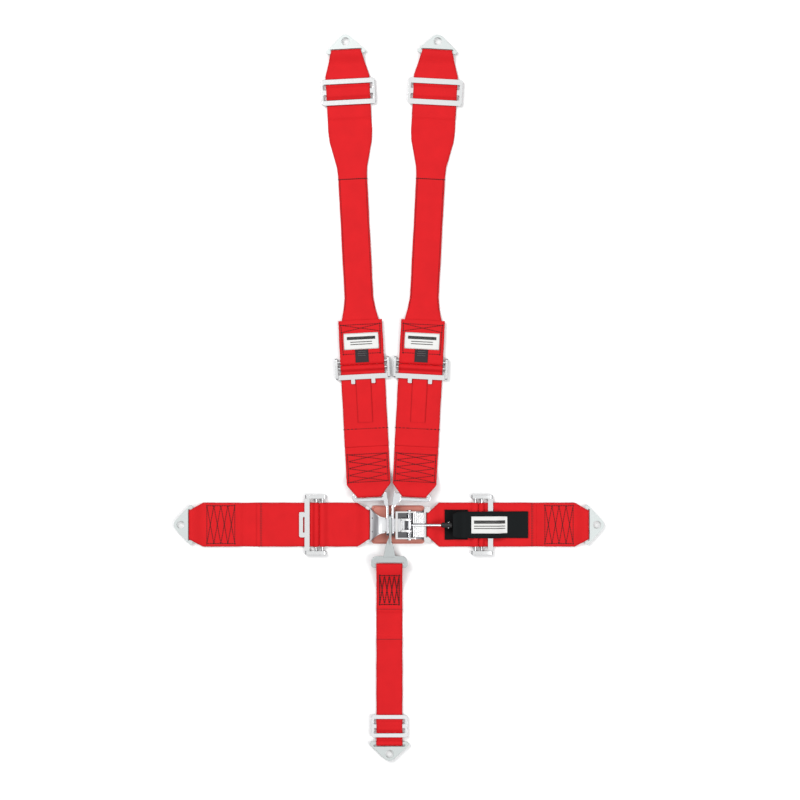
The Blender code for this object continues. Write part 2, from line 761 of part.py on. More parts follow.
def slot_plate(half, slot_half, bar_v, low_edge, thickness, middle, shoulder):
    """A flat ring with rounded shoulders whose slot takes the webbing, drawn in the strap's frame."""
    high_edge = bar_v + BAR_HALF
    corners = [
        (-half, low_edge, shoulder),
        (half, low_edge, shoulder),
        (half, high_edge, 0.004),
        (-half, high_edge, 0.004),
    ]
    outline = rounded(corners, 5)
    slot = rectangle(-slot_half, slot_half, bar_v - SLOT_REACH - GAP, bar_v - BAR_HALF, 0.001)
    return plate([outline, slot], middle - thickness / 2, middle + thickness / 2)


def shoulder_link(name, side, frame, body):
    loop_x = side * LOOP_STEP
    loop = turned(upright_loop(1, 0.0330), Matrix.Translation((loop_x, 0, 0)))
    half = SHOULDER_NECK_HALF
    ring = slot_plate(half + 0.0077, half + SLOT_SIDE, LOOP_OUT, -0.0066, PLATE_T, TONGUE_Z, 0.0068)
    ring.transform(frame)
    start_x = SHOULDER_X_LEFT if side < 0 else SHOULDER_X_RIGHT
    inner = start_x - side * 0.0230
    corners = [
        (loop_x - side * 0.0019, 0.0200, 0),
        (loop_x + side * 0.0019, 0.0200, 0),
        (loop_x + side * 0.0024, SHOULDER_START - 0.0178, 0.006),
        (loop_x + side * 0.0052, SHOULDER_START - 0.0125, 0.006),
        (loop_x + side * 0.0105, SHOULDER_START - 0.0086, 0.006),
        (inner, SHOULDER_START - 0.0065, 0),
        (inner, SHOULDER_START + 0.0068, 0),
        (loop_x + side * 0.0058, SHOULDER_START + 0.0072, 0.002),
        (loop_x + side * 0.0034, SHOULDER_START + 0.0102, 0.0008),
        (loop_x + side * 0.0016, SHOULDER_START + 0.0098, 0.0008),
        (loop_x - side * 0.0008, SHOULDER_START - 0.0060, 0.003),
    ]
    outline = rounded(corners if side > 0 else corners[::-1])
    neck = plate([outline], TONGUE_Z - 0.0019, TONGUE_Z + 0.0019)
    mesh = turned(combine(loop, [neck, ring]), frame.inverted())
    return add_piece(name, mesh, CHROME, body)


def crotch_link(name, body):
    loop = upright_loop(-1, 0.0330)
    half = CROTCH_HALF
    ring = slot_plate(half + 0.0083, half + SLOT_SIDE, LOOP_OUT, -0.0126, PLATE_T, TONGUE_Z, 0.0100)
    ring.transform(CROTCH)
    join = -CROTCH_START + 0.0110
    corners = [
        (-0.0019, -0.0200, 0),
        (CROTCH_X - 0.0034, -0.0265, 0.006),
        (CROTCH_X - 0.0072, -0.0377, 0.008),
        (CROTCH_X - 0.0100, join, 0),
        (CROTCH_X + 0.0100, join, 0),
        (CROTCH_X + 0.0072, -0.0377, 0.008),
        (CROTCH_X + 0.0034, -0.0265, 0.006),
        (0.0019, -0.0200, 0),
    ]
    neck = plate([rounded(corners)], TONGUE_Z - 0.0019, TONGUE_Z + 0.0019)
    mesh = turned(combine(loop, [neck, ring]), CROTCH.inverted())
    return add_piece(name, mesh, ZINC, body)


# ---------------------------------------------------------------- lap straps
def neck_widths(near, near_half, far=None, far_half=None, full=WEB_HALF):
    """Half widths along v: gathered at one or both ends and full between."""
    table = [(near, near_half), (near + NECK_RUN, full)]
    if far is not None:
        table += [(far - NECK_RUN, full), (far, far_half)]
    return table


def lap_inner_webbing(name, web_end, neck_half, edge, body):
    """A short sewn band from the buckle's bar to the adjuster's fixed bar."""
    bar = web_end + LOOP_OUT
    fixed = edge - ADJUSTER_FIXED_AT
    meet = (bar + fixed) / 2
    path = [(meet + 0.001, FIRST_Z), (fixed, FIRST_Z)]
    path += arc((fixed, ADJUSTER_Z), ROLL_MID, -90, 90)[1:]
    path += ease((fixed, ADJUSTER_Z + ROLL_MID), (fixed - 0.012, SECOND_Z))[1:]
    path += ease((bar + 0.022, SECOND_Z), (bar, LOW_BAR_Z + LOOP_MID))
    path += arc((bar, LOW_BAR_Z), LOOP_MID, 90, 270)[1:]
    path += [(meet - 0.001, FIRST_Z)]
    mesh = ribbon(path, neck_widths(web_end + 0.002, neck_half), [(0, WEB_T)])
    return add_piece(name, mesh, RED, body)


def lap_outer_webbing(name, edge, tail, hole, body):
    """The running strap: sewn anchor loop, main run, turn in the adjuster, free end."""
    bar = hole - HOLE_TO_WEB - LOOP_OUT
    path = [(hole - ANCHOR_SEWN - HOLE_TO_WEB, FIRST_Z), (bar, FIRST_Z)]
    path += arc((bar, LOW_BAR_Z), LOOP_MID, -90, 90)[1:]
    path += ease((bar, LOW_BAR_Z + LOOP_MID), (bar - 0.022, SECOND_Z))[1:]
    sewn = hole - ANCHOR_SEWN - HOLE_TO_WEB
    path += ease((sewn, SECOND_Z), (sewn - 0.008, FIRST_Z), 4)
    path += adjuster_roll(edge, 1)
    path += [(tail, SECOND_Z)]
    widths = [(0, WEB_HALF), (bar - NECK_RUN, WEB_HALF), (bar + 0.002, ANCHOR_NECK_HALF)]
    mesh = ribbon(path, widths, [(0, WEB_T)])
    return add_piece(name, mesh, RED, body)


def build_lap(side, frame, web_end, neck_half, edge, tail, hole):
    name = f"lap_{side}"
    fixed = edge - ADJUSTER_FIXED_AT
    inner = make_body(f"{name}_strap", frame, (0, web_end + LOOP_OUT, LOW_BAR_Z))
    adjuster = make_body(f"{name}_adjuster", frame, (0, fixed, ADJUSTER_Z))
    outer = make_body(f"{name}_belt", frame, (0, edge, FIRST_Z))
    anchor = make_body(f"{name}_anchor", frame, (0, hole - HOLE_TO_WEB - LOOP_OUT, LOW_BAR_Z))
    lap_inner_webbing(f"{name}_inner_webbing", web_end, neck_half, edge, inner)
    adjuster_frame(f"{name}_adjuster_frame", edge, 1, LAP_RAIL_IN, LAP_RAIL_OUT, True, adjuster)
    loose_bar(f"{name}_loose_bar", edge, 1, LAP_RAIL_IN, adjuster)
    lap_outer_webbing(f"{name}_outer_webbing", edge, tail, hole, outer)
    anchor_plate(f"{name}_anchor_plate", hole, anchor)


def build_keeper():
    """The lever's black pull strap and the patch on the belt that it presses onto."""
    patch_low = STACK_TOP + GAP
    patch = plate(
        [rectangle(-PATCH_HALF, PATCH_HALF, PATCH_START, PATCH_END, 0.002)], patch_low, patch_low + BLACK_T
    )
    add_piece("keeper_patch", patch, BLACK, root_right)
    over = ADJUSTER_Z + ROLL_MID + WEB_T / 2 + GAP * 5 + BLACK_T / 2
    edge = LAP_ADJUSTER_RIGHT
    near_z = patch_low + BLACK_T + GAP * 2 + BLACK_T / 2
    dip = (KEEPER_START + 0.0200, near_z)
    path = ease((KEEPER_START, PIN_Z), dip, 6)
    path += ease(dip, (edge - ADJUSTER_LONG, over), 5)[1:]
    path += ease((edge + 0.003, over), (edge + 0.024, STACK_TOP + GAP * 2 + BLACK_T / 2), 5)
    path += [(KEEPER_END, STACK_TOP + GAP * 2 + BLACK_T / 2)]
    strap = ribbon(path, [(0, KEEPER_HALF), (1, KEEPER_HALF)], [(0, BLACK_T)])
    add_piece("lever_strap", strap, BLACK, keeper)
    lift = BLACK_T / 2 + GAP + LABEL_T / 2
    crest = (edge + 0.003, over + lift)
    path = [(edge - ADJUSTER_LONG, over + lift)] + ease(
        crest, (edge + 0.024, STACK_TOP + GAP * 2 + BLACK_T / 2 + lift), 5
    )
    label = ribbon(path, [(0, LABEL_HALF), (1, LABEL_HALF)], [(0, LABEL_T)])
    add_piece("lever_strap_label", label, WHITE, keeper)


# ---------------------------------------------------------------- shoulder straps
def shoulder_lower_webbing(name, body):
    """Sewn loop at the link, main run, turn in the adjuster and the free end on top."""
    bar = LOOP_OUT
    high_bar = TONGUE_Z
    path = [(LINK_SEWN, FIRST_Z)]
    path += ease((bar + 0.045, FIRST_Z), (bar, high_bar - LOOP_MID), 6)
    path += arc((bar, high_bar), LOOP_MID, 270, 90)[1:]
    path += ease((bar, high_bar + LOOP_MID), (bar + 0.045, SECOND_Z), 6)[1:]
    path += ease((LINK_SEWN, SECOND_Z), (LINK_SEWN + 0.007, FIRST_Z), 4)
    path += adjuster_roll(SHOULDER_ADJUSTER, -1)
    path += [(SHOULDER_TAIL, SECOND_Z)]
    widths = [(0.002, SHOULDER_NECK_HALF), (0.0225, WEB_HALF), (1, WEB_HALF)]
    return add_piece(name, ribbon(path, widths, [(0, WEB_T)]), RED, body)


def pull_tab(name, body):
    low = THIRD_Z - 0.0002
    path = [(SHOULDER_ADJUSTER - 0.0731, low), (SHOULDER_ADJUSTER - GAP * 2, low)]
    return add_piece(name, ribbon(path, [(0, 0.0130), (1, 0.0130)], [(0, 0.0010)]), RED, body)


def label_end_webbing(name, body):
    """The wide piece that loops round the adjuster's fixed bar and takes the strap's end."""
    fixed = SHOULDER_ADJUSTER + ADJUSTER_FIXED_AT
    top_z = FIRST_Z + WEB_T * 3 + GAP * 2
    path = [(LABEL_END_TOP - 0.004, FIRST_Z), (fixed, FIRST_Z)]
    path += arc((fixed, ADJUSTER_Z), ROLL_MID, 270, 90)[1:]
    path += ease((fixed, ADJUSTER_Z + ROLL_MID), (fixed + 0.014, top_z))[1:]
    path += [(LABEL_END_TOP, top_z)]
    return add_piece(name, ribbon(path, [(0, WEB_HALF), (1, WEB_HALF)], [(0, WEB_T)]), RED, body)


def shoulder_upper_webbing(name, body):
    """The long strap: flared end, folded narrow run, wide run and anchor loop."""
    bar = SHOULDER_HOLE - HOLE_TO_WEB - LOOP_OUT
    double = WEB_T * 2
    inside = GAP + WEB_T + GAP + double / 2
    outside = GAP + double / 2
    path = [(STRAP_INSERT, inside)]
    path += ease((LABEL_END_TOP + 0.001, inside), (LABEL_END_TOP + 0.020, outside), 4)
    path += [(SLEEVE_END, outside)]
    path += [(SLEEVE_FLARE_END, FIRST_Z)]
    path += ease((SHOULDER_RETURN - 0.008, FIRST_Z), (SHOULDER_RETURN, SECOND_Z), 4)
    path += ease((bar - 0.022, SECOND_Z), (bar, LOW_BAR_Z + LOOP_MID))
    path += arc((bar, LOW_BAR_Z), LOOP_MID, 90, -90)[1:]
    path += [(SHOULDER_RETURN + 0.0005, FIRST_Z)]
    widths = [
        (STRAP_INSERT, 0.0340),
        (LABEL_END_TOP, 0.0315),
        (LABEL_END_TOP + 0.018, 0.0275),
        (SLEEVE_START, SLEEVE_HALF),
        (SLEEVE_END, SLEEVE_HALF),
        (SLEEVE_END + 0.020, SLEEVE_HALF + 0.0015),
        (SLEEVE_FLARE_END - 0.020, WEB_HALF - 0.0015),
        (SLEEVE_FLARE_END, WEB_HALF),
        (bar - NECK_RUN - 0.020, WEB_HALF),
        (bar + 0.002, ANCHOR_NECK_HALF),
    ]
    thickness = [(0, double), (SLEEVE_END, double), (SLEEVE_FLARE_END, WEB_T), (1, WEB_T)]
    return add_piece(name, ribbon(path, widths, thickness), RED, body)


def shoulder_labels(name, body):
    fixed = SHOULDER_ADJUSTER + ADJUSTER_FIXED_AT
    top = GAP + WEB_T * 4 + GAP * 2
    low_v = SHOULDER_ADJUSTER + 0.0509
    label = plate([rectangle(-0.030, 0.030, low_v, low_v + 0.0275)], top + GAP, top + GAP + 0.0006)
    add_piece(f"{name}_label", label, WHITE, body)
    tag_z = top + GAP + 0.0003
    crest = ADJUSTER_Z + ROLL_MID + WEB_T / 2 + GAP * 2
    path = [(low_v - GAP * 2, tag_z)]
    path += ease((fixed + 0.0140, tag_z), (fixed + 0.0010, crest + 0.0003), 4)
    path += [(fixed - 0.0015, crest + 0.0003)]
    tag = ribbon(path, [(0, 0.0115), (1, 0.0115)], [(0, 0.0006)])
    add_piece(f"{name}_care_tag", tag, GREY, body)


def build_shoulder(side, sign, frame):
    name = f"shoulder_{side}"
    on_tongue = frame.inverted() @ Vector((sign * LOOP_STEP, 0, TONGUE_Z))
    link = make_body(f"{name}_link_swing", frame, on_tongue)
    lower = make_body(f"{name}_strap", frame, (0, LOOP_OUT, TONGUE_Z))
    adjuster = make_body(f"{name}_adjuster", frame, (0, SHOULDER_ADJUSTER, FIRST_Z))
    fixed = SHOULDER_ADJUSTER + ADJUSTER_FIXED_AT
    upper = make_body(f"{name}_belt", frame, (0, fixed, ADJUSTER_Z))
    slide = make_body(f"{name}_slide", frame, (0, SHOULDER_SLIDE, SLIDE_BASE))
    anchor = make_body(f"{name}_anchor", frame, (0, SHOULDER_HOLE - HOLE_TO_WEB - LOOP_OUT, LOW_BAR_Z))
    shoulder_link(f"{name}_link", sign, frame, link)
    shoulder_lower_webbing(f"{name}_lower_webbing", lower)
    pull_tab(f"{name}_pull_tab", adjuster)
    adjuster_frame(
        f"{name}_adjuster_frame", SHOULDER_ADJUSTER, -1, SHOULDER_RAIL_IN, SHOULDER_RAIL_OUT, False, adjuster
    )
    loose_bar(f"{name}_loose_bar", SHOULDER_ADJUSTER, -1, SHOULDER_RAIL_IN, adjuster)
    label_end_webbing(f"{name}_label_end", upper)
    shoulder_upper_webbing(f"{name}_upper_webbing", upper)
    shoulder_labels(name, upper)
    bar = 0.0088
    three_bar_slide(f"{name}_three_bar_slide", SHOULDER_SLIDE, SLIDE_LONG, SLIDE_HALF, bar, slide)
    slide_webbing(f"{name}_slide_webbing", SHOULDER_SLIDE, SLIDE_LONG, bar, WEB_HALF - 0.0002, slide)
    anchor_plate(f"{name}_anchor_plate", SHOULDER_HOLE, anchor)


# ---------------------------------------------------------------- crotch strap
def crotch_webbing(name, body):
    bar = LOOP_OUT
    far = CROTCH_HOLE - HOLE_TO_WEB - LOOP_OUT
    path = [(CROTCH_SEWN, FIRST_Z)]
    path += ease((bar + 0.045, FIRST_Z), (bar, TONGUE_Z - LOOP_MID), 6)
    path += arc((bar, TONGUE_Z), LOOP_MID, 270, 90)[1:]
    path += ease((bar, TONGUE_Z + LOOP_MID), (bar + 0.045, SECOND_Z), 6)[1:]
    path += ease((CROTCH_SEWN, SECOND_Z), (CROTCH_SEWN + 0.008, FIRST_Z), 4)
    path += ease((CROTCH_RETURN - 0.009, FIRST_Z), (CROTCH_RETURN - 0.001, SECOND_Z), 4)
    path += ease((far - 0.0090, SECOND_Z), (far, LOW_BAR_Z + LOOP_MID))
    path += arc((far, LOW_BAR_Z), LOOP_MID, 90, -90)[1:]
    path += [(CROTCH_RETURN, FIRST_Z)]
    return add_piece(name, ribbon(path, [(0, CROTCH_HALF), (1, CROTCH_HALF)], [(0, WEB_T)]), RED, body)


def build_crotch():
    link = make_body("crotch_link_swing", CROTCH, CROTCH.inverted() @ Vector((0, 0, TONGUE_Z)))
    strap = make_body("crotch_strap", CROTCH, (0, LOOP_OUT, TONGUE_Z))
    slide = make_body("crotch_slide", CROTCH, (0, CROTCH_SLIDE, SLIDE_BASE))
    anchor = make_body("crotch_anchor", CROTCH, (0, CROTCH_HOLE - HOLE_TO_WEB - LOOP_OUT, LOW_BAR_Z))
    crotch_link("crotch_link", link)
    crotch_webbing("crotch_webbing", strap)
    bar = 0.0068
    half = CROTCH_SLIDE_HALF
    three_bar_slide("crotch_three_bar_slide", CROTCH_SLIDE, CROTCH_SLIDE_LONG, half, bar, slide)
    slide_webbing("crotch_slide_webbing", CROTCH_SLIDE, CROTCH_SLIDE_LONG, bar, CROTCH_HALF, slide)
    anchor_plate("crotch_anchor_plate", CROTCH_HOLE, anchor)


# ---------------------------------------------------------------- the whole harness
root_right = make_body("buckle_right_side", LAP_RIGHT, (0, 0, 0))
keeper = make_body("lever_pull", LAP_RIGHT, (0, KEEPER_HINGE, PIN_Z))
build_buckle()
build_lap(
    "left", LAP_LEFT, LINK_WEB_END, LINK_NECK_HALF, LAP_ADJUSTER_LEFT, LAP_TAIL_LEFT, LAP_ANCHOR_LEFT
)
build_lap(
    "right", LAP_RIGHT, LATCH_WEB_END, LATCH_NECK_HALF, LAP_ADJUSTER_RIGHT, LAP_TAIL_RIGHT, LAP_ANCHOR_RIGHT
)
build_keeper()
build_shoulder("left", -1, SHOULDER_LEFT)
build_shoulder("right", 1, SHOULDER_RIGHT)
build_crotch()
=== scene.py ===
# %% [markdown]
# # A racing harness, laid out flat
# Five webbing straps meet at a lever latch. The metal fittings come ready made and stay where
# they are; this lesson weaves the straps that run through them, sews them, and gives every
# surface its finish. Lengths are in metres, +Z is up, and +Y points to the shoulder anchors.

# %% Load the fittings
import json
import math
import bmesh
import bpy
from mathutils import Matrix, Vector


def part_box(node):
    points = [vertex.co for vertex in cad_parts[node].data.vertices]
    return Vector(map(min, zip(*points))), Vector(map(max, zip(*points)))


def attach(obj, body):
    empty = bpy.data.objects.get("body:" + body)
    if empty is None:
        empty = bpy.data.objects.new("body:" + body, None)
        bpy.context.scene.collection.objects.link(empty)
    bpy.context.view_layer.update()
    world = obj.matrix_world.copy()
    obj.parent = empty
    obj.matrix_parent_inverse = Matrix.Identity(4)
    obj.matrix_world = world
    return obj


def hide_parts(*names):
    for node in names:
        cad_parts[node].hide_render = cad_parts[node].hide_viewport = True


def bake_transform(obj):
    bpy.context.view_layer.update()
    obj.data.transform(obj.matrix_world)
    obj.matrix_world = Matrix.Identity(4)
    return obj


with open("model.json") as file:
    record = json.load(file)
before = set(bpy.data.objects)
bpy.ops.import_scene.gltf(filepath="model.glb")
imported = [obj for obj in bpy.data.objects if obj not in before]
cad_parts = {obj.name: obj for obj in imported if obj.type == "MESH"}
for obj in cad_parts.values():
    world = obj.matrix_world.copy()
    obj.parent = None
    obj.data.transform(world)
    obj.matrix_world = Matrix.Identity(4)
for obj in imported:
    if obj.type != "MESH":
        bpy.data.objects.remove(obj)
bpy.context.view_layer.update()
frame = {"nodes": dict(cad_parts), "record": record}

print("fittings and straps:", len(frame["nodes"]), "pieces")

# %% [markdown]
# ## The lie of the straps
# Each strap has its own frame: u runs across it, v along it away from the buckle, z up. The
# two shoulder straps splay three degrees each, and the crotch strap runs the other way. A
# frame is a matrix, so one webbing function serves all five straps.

# %% Strap frames
GAP = 0.0003
WEB_T = 0.0014
WEB_HALF = 0.0375
CROTCH_HALF = 0.0224


def strap_frame(x, y, heading):
    """The matrix that takes (u, v, z) on a strap to the harness's own axes."""
    along = Vector((math.cos(heading), math.sin(heading), 0))
    across = Vector((math.sin(heading), -math.cos(heading), 0))
    matrix = Matrix((across, along, Vector((0, 0, 1)))).transposed().to_4x4()
    matrix.translation = Vector((x, y, 0))
    return matrix


TILT = math.radians(3.0)
LAP_LEFT = strap_frame(0, 0, math.pi)
LAP_RIGHT = strap_frame(0, 0, 0)
SHOULDER_LEFT = strap_frame(-0.0355, 0.0468, math.pi / 2 + TILT)
SHOULDER_RIGHT = strap_frame(0.0400, 0.0468, math.pi / 2 - TILT)
CROTCH = strap_frame(-0.0015, -0.0649, -math.pi / 2)
print("strap frames:", 5)

# %% [markdown]
# ## Paths for webbing
# Webbing lies in layers 1.4 mm thick, climbs to its bar, turns round it and comes back. Seen
# from the side that is a line in (v, z) made from arcs and from easy rises that leave and
# arrive level, so both are worth a small function. Every strap below is a list of them.

# %% Path helpers
LOOP_MID = 0.0039
LOOP_OUT = 0.0046
FIRST_Z = GAP + WEB_T / 2
SECOND_Z = FIRST_Z + WEB_T + GAP
THIRD_Z = SECOND_Z + WEB_T + GAP
LOW_BAR_Z = FIRST_Z + LOOP_MID
ROLL_MID = 0.0032
TURN_SWELL = 1.40  # a turn round an adjuster's bar stands out this much along the strap
LOOSE_BAR_AT = 0.0195  # outer edge of an adjuster to its loose bar
FIXED_BAR_AT = 0.0301  # outer edge of an adjuster to the bar with the sewn loop
RISE_RUN = 0.045  # how far back from a link the webbing starts to climb
ADJUSTER_Z = FIRST_Z + ROLL_MID
TONGUE_Z = 0.0136
PIN_X = 0.0323
PIN_Z = 0.0150


def ease(start, end, steps=12):
    points = []
    for k in range(steps + 1):
        share = k / steps
        rise = (1 - math.cos(math.pi * share)) / 2
        points.append((start[0] + (end[0] - start[0]) * share, start[1] + (end[1] - start[1]) * rise))
    return points


def arc(centre, radius, start, end, steps=16):
    points = []
    for k in range(steps + 1):
        angle = math.radians(start + (end - start) * k / steps)
        points.append((centre[0] + radius * math.cos(angle), centre[1] + radius * math.sin(angle)))
    return points


def roll(edge, away):
    """Under the flat bar, round the loose bar and back out; away is +1 where v falls off the edge."""
    centre = edge - away * LOOSE_BAR_AT
    turn = [(a * (TURN_SWELL if a > 0 else 1.0), z) for a, z in arc((0, ADJUSTER_Z), ROLL_MID, -90, 135, 18)]
    slope = math.cos(math.radians(45))
    last = turn[-1]
    low = (last[0] - 0.0041 * slope, last[1] - 0.0041 * slope)
    foot = low[0] - 0.0030 * slope
    turn += arc((foot, SECOND_Z + 0.0030), 0.0030, -45, -90, 5)
    return [(centre - away * a, z) for a, z in turn]


def table_value(table, at):
    for (low, first), (high, second) in zip(table, table[1:]):
        if at <= high:
            return first + (second - first) * max(0.0, at - low) / (high - low)
    return table[-1][1]


print("layers of webbing at", round(FIRST_Z * 1000, 2), "and", round(SECOND_Z * 1000, 2), "mm")

# %% [markdown]
# ## Weaving a strap
# A strap could be a plane with Solidify, but its rounded selvedges and its turns round the bars
# come out cleaner when each cross-section is placed one by one. The path is walked in short steps,
# and each step puts down one flat loop of points with soft edges. The UV map holds real metres
# across and along, so the weave keeps its scale round every bend. A slow, small waver in the
# edges keeps the cloth from looking stamped.

# %% The strap maker
ACROSS = 14
SIDE_ROUND = ((1.0, 0.25), (0.9975, 0.62), (0.990, 0.88), (0.975, 0.97), (0.955, 1.0))


def walk(path, longest):
    """The path with no step over the longest, and the distance travelled at each point."""
    points, travelled = [path[0]], [0.0]
    for start, end in zip(path, path[1:]):
        length = math.dist(start, end)
        if length < 1e-6:
            continue
        parts = max(1, math.ceil(length / longest))
        for k in range(1, parts + 1):
            share = k / parts
            points.append((start[0] + (end[0] - start[0]) * share, start[1] + (end[1] - start[1]) * share))
            travelled.append(travelled[-1] + length / parts)
    return points, travelled


def section_shape():
    """Half-width and half-thickness shares of one cross-section, once round."""
    top = [(u, t) for u, t in SIDE_ROUND]
    inner = [0.955 - 1.91 * (k + 1) / (ACROSS + 1) for k in range(ACROSS)]
    top += [(u, 1.0) for u in inner]
    top += [(-u, t) for u, t in reversed(SIDE_ROUND)]
    return top + [(u, -t) for u, t in reversed(top)]


def make_piece(name, mesh, material, body):
    """Each piece sits at the origin and rides on one body, or on none."""
    mesh.name = name
    if material is not None:
        mesh.materials.clear()
        mesh.materials.append(material)
    piece = bpy.data.objects.new(name, mesh)
    bpy.context.scene.collection.objects.link(piece)
    if body is not None:
        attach(piece, body)
    return piece


def strap_mesh(path, widths, thickness, place, longest=0.003, waver=0.00025):
    points, travelled = walk(path, longest)
    shape = section_shape()
    vertices, uvs, edge = [], [], []
    for i, (v, z) in enumerate(points):
        before = Vector(points[max(i - 1, 0)])
        after = Vector(points[min(i + 1, len(points) - 1)])
        along = (after - before).normalized()
        up = Vector((-along.y, along.x)) * table_value(thickness, v) / 2
        wobble = math.sin(v * 61.0 + z * 900) + 0.6 * math.sin(v * 143.0 + 1.3)
        half = table_value(widths, v) - waver + waver * 0.6 * wobble
        for across, share in shape:
            vertices.append(place @ Vector((across * half, v + up.x * share, z + up.y * share)))
            uvs.append((across * half, travelled[i]))
            # Painted shade: this value grows within 2.2 mm of the strap's rolled edges and darkens the cloth
            # there.
            edge.append(max(0.0, 1 - (1 - abs(across)) * half / 0.0022))
    count = len(shape)
    faces = [tuple(range(count))]
    for row in range(len(points) - 1):
        for k in range(count):
            a, b = row * count + k, row * count + (k + 1) % count
            faces.append((a, a + count, b + count, b))
    faces.append(tuple(reversed(range(len(vertices) - count, len(vertices)))))
    mesh = bpy.data.meshes.new("strap")
    mesh.from_pydata(vertices, [], faces)
    layer = mesh.uv_layers.new(name="Cloth")
    for loop in mesh.loops:
        layer.data[loop.index].uv = uvs[loop.vertex_index]
    mesh.attributes.new("edge_shade", "FLOAT", "POINT").data.foreach_set("value", edge)
    shell = bmesh.new()
    shell.from_mesh(mesh)
    bmesh.ops.recalc_face_normals(shell, faces=shell.faces)
    shell.to_mesh(mesh)
    shell.free()
    mesh.shade_smooth()
    mesh.set_sharp_from_angle(angle=math.radians(50))
    return mesh, travelled[-1]


def flat_area(path, widths):
    points, _ = walk(path, 0.003)
    total = 0.0
    for start, end in zip(points, points[1:]):
        total += math.dist(start, end) * 2 * table_value(widths, (start[0] + end[0]) / 2)
    return total


print("points round one cross-section:", len(section_shape()))

# %% [markdown]
# ## Finishes: woven polyester
# Harness webbing is a close twill: warp ribs a millimetre apart run along it, and the weft
# shows as faint cross steps. Both come from sine waves of the UV map, which is in metres, and
# go through one node group that the red straps, the black pull strap and the labels share. A
# broad soft noise shifts the dye a little, as real cloth does from roll to roll. The low parts
# of the weave and the strap's rolled edges are painted darker, as shade.


# %% Node group for woven cloth
def add_node(tree, kind, **values):
    node = tree.nodes.new(kind)
    for key, value in values.items():
        setattr(node, key, value)
    return node


def math_node(tree, operation, first, second=None):
    node = add_node(tree, "ShaderNodeMath", operation=operation)
    for socket, value in zip(node.inputs, (first, second)):
        if value is None:
            continue
        if isinstance(value, (int, float)):
            socket.default_value = value
        else:
            tree.links.new(value, socket)
    return node.outputs[0]


def new_group(name, inputs, outputs):
    group = bpy.data.node_groups.new(name, "ShaderNodeTree")
    for label, kind, value in inputs:
        socket = group.interface.new_socket(label, in_out="INPUT", socket_type=kind)
        socket.default_value = value
    for label, kind in outputs:
        group.interface.new_socket(label, in_out="OUTPUT", socket_type=kind)
    return group, group.nodes.new("NodeGroupInput"), group.nodes.new("NodeGroupOutput")


def mix_colour(tree, factor, first, second, blend="MIX"):
    node = add_node(tree, "ShaderNodeMix", data_type="RGBA", blend_type=blend)
    sockets = {s.identifier: s for s in node.inputs}
    for socket, value in (
        (sockets["Factor_Float"], factor),
        (sockets["A_Color"], first),
        (sockets["B_Color"], second),
    ):
        if isinstance(value, (int, float, tuple)):
            socket.default_value = value
        else:
            tree.links.new(value, socket)
    return next(s for s in node.outputs if s.identifier == "Result_Color")


def build_cloth_group():
    group, source, sink = new_group(
        "Woven cloth",
        [
            ("Colour", "NodeSocketColor", (0.7, 0.02, 0.02, 1)),
            ("Shade", "NodeSocketColor", (0.5, 0.01, 0.01, 1)),
            ("Rib pitch", "NodeSocketFloat", 0.0011),
            ("Weft pitch", "NodeSocketFloat", 0.0017),
            ("Roughness", "NodeSocketFloat", 0.7),
        ],
        [("Colour", "NodeSocketColor"), ("Roughness", "NodeSocketFloat"), ("Height", "NodeSocketFloat")],
    )
    uv = add_node(group, "ShaderNodeUVMap", uv_map="Cloth")
    split = group.nodes.new("ShaderNodeSeparateXYZ")
    group.links.new(uv.outputs[0], split.inputs[0])
    across, along = split.outputs[0], split.outputs[1]
    turns = math_node(group, "DIVIDE", across, source.outputs["Rib pitch"])
    rib = math_node(group, "SINE", math_node(group, "MULTIPLY", turns, math.tau))
    skew = math_node(group, "MULTIPLY", across, 0.9)
    slanted = math_node(group, "ADD", along, skew)
    picks = math_node(group, "DIVIDE", slanted, source.outputs["Weft pitch"])
    weft = math_node(group, "SINE", math_node(group, "MULTIPLY", picks, math.tau))
    ribs = math_node(group, "MULTIPLY", rib, 0.6)
    ridges = math_node(group, "ADD", ribs, math_node(group, "MULTIPLY", weft, 0.4))
    height = math_node(group, "ADD", math_node(group, "MULTIPLY", ridges, 0.5), 0.5)
    place = group.nodes.new("ShaderNodeTexCoord")
    broad = add_node(group, "ShaderNodeTexNoise")
    broad.inputs["Scale"].default_value = 34.0
    broad.inputs["Detail"].default_value = 3.0
    group.links.new(place.outputs["Object"], broad.inputs["Vector"])
    fuzz = add_node(group, "ShaderNodeTexNoise")
    fuzz.inputs["Scale"].default_value = 900.0
    group.links.new(place.outputs["Object"], fuzz.inputs["Vector"])
    # Painted shade: the low parts of the weave are mixed toward the Shade colour; the broad noise added next
    # is the cloth's own uneven tone.
    shade_and_tone = math_node(group, "MULTIPLY", math_node(group, "SUBTRACT", 1.0, height), 0.42)
    shade_and_tone = math_node(group, "ADD", shade_and_tone, math_node(group, "MULTIPLY", broad.outputs[0], 0.34))
    # Painted shade: the strap's rolled edges are darkened by the per-point value made with the strap.
    edge = add_node(group, "ShaderNodeAttribute", attribute_name="edge_shade")
    shade_and_tone = math_node(group, "ADD", shade_and_tone, math_node(group, "MULTIPLY", edge.outputs["Fac"], 0.55))
    colour = mix_colour(group, shade_and_tone, source.outputs["Colour"], source.outputs["Shade"])
    grit = math_node(group, "MULTIPLY", fuzz.outputs[0], 0.12)
    rough = math_node(group, "ADD", source.outputs["Roughness"], grit)
    lift = math_node(group, "ADD", height, math_node(group, "MULTIPLY", fuzz.outputs[0], 0.5))
    for label, value in (("Colour", colour), ("Roughness", rough), ("Height", lift)):
        group.links.new(value, sink.inputs[label])
    return group


CLOTH = build_cloth_group()


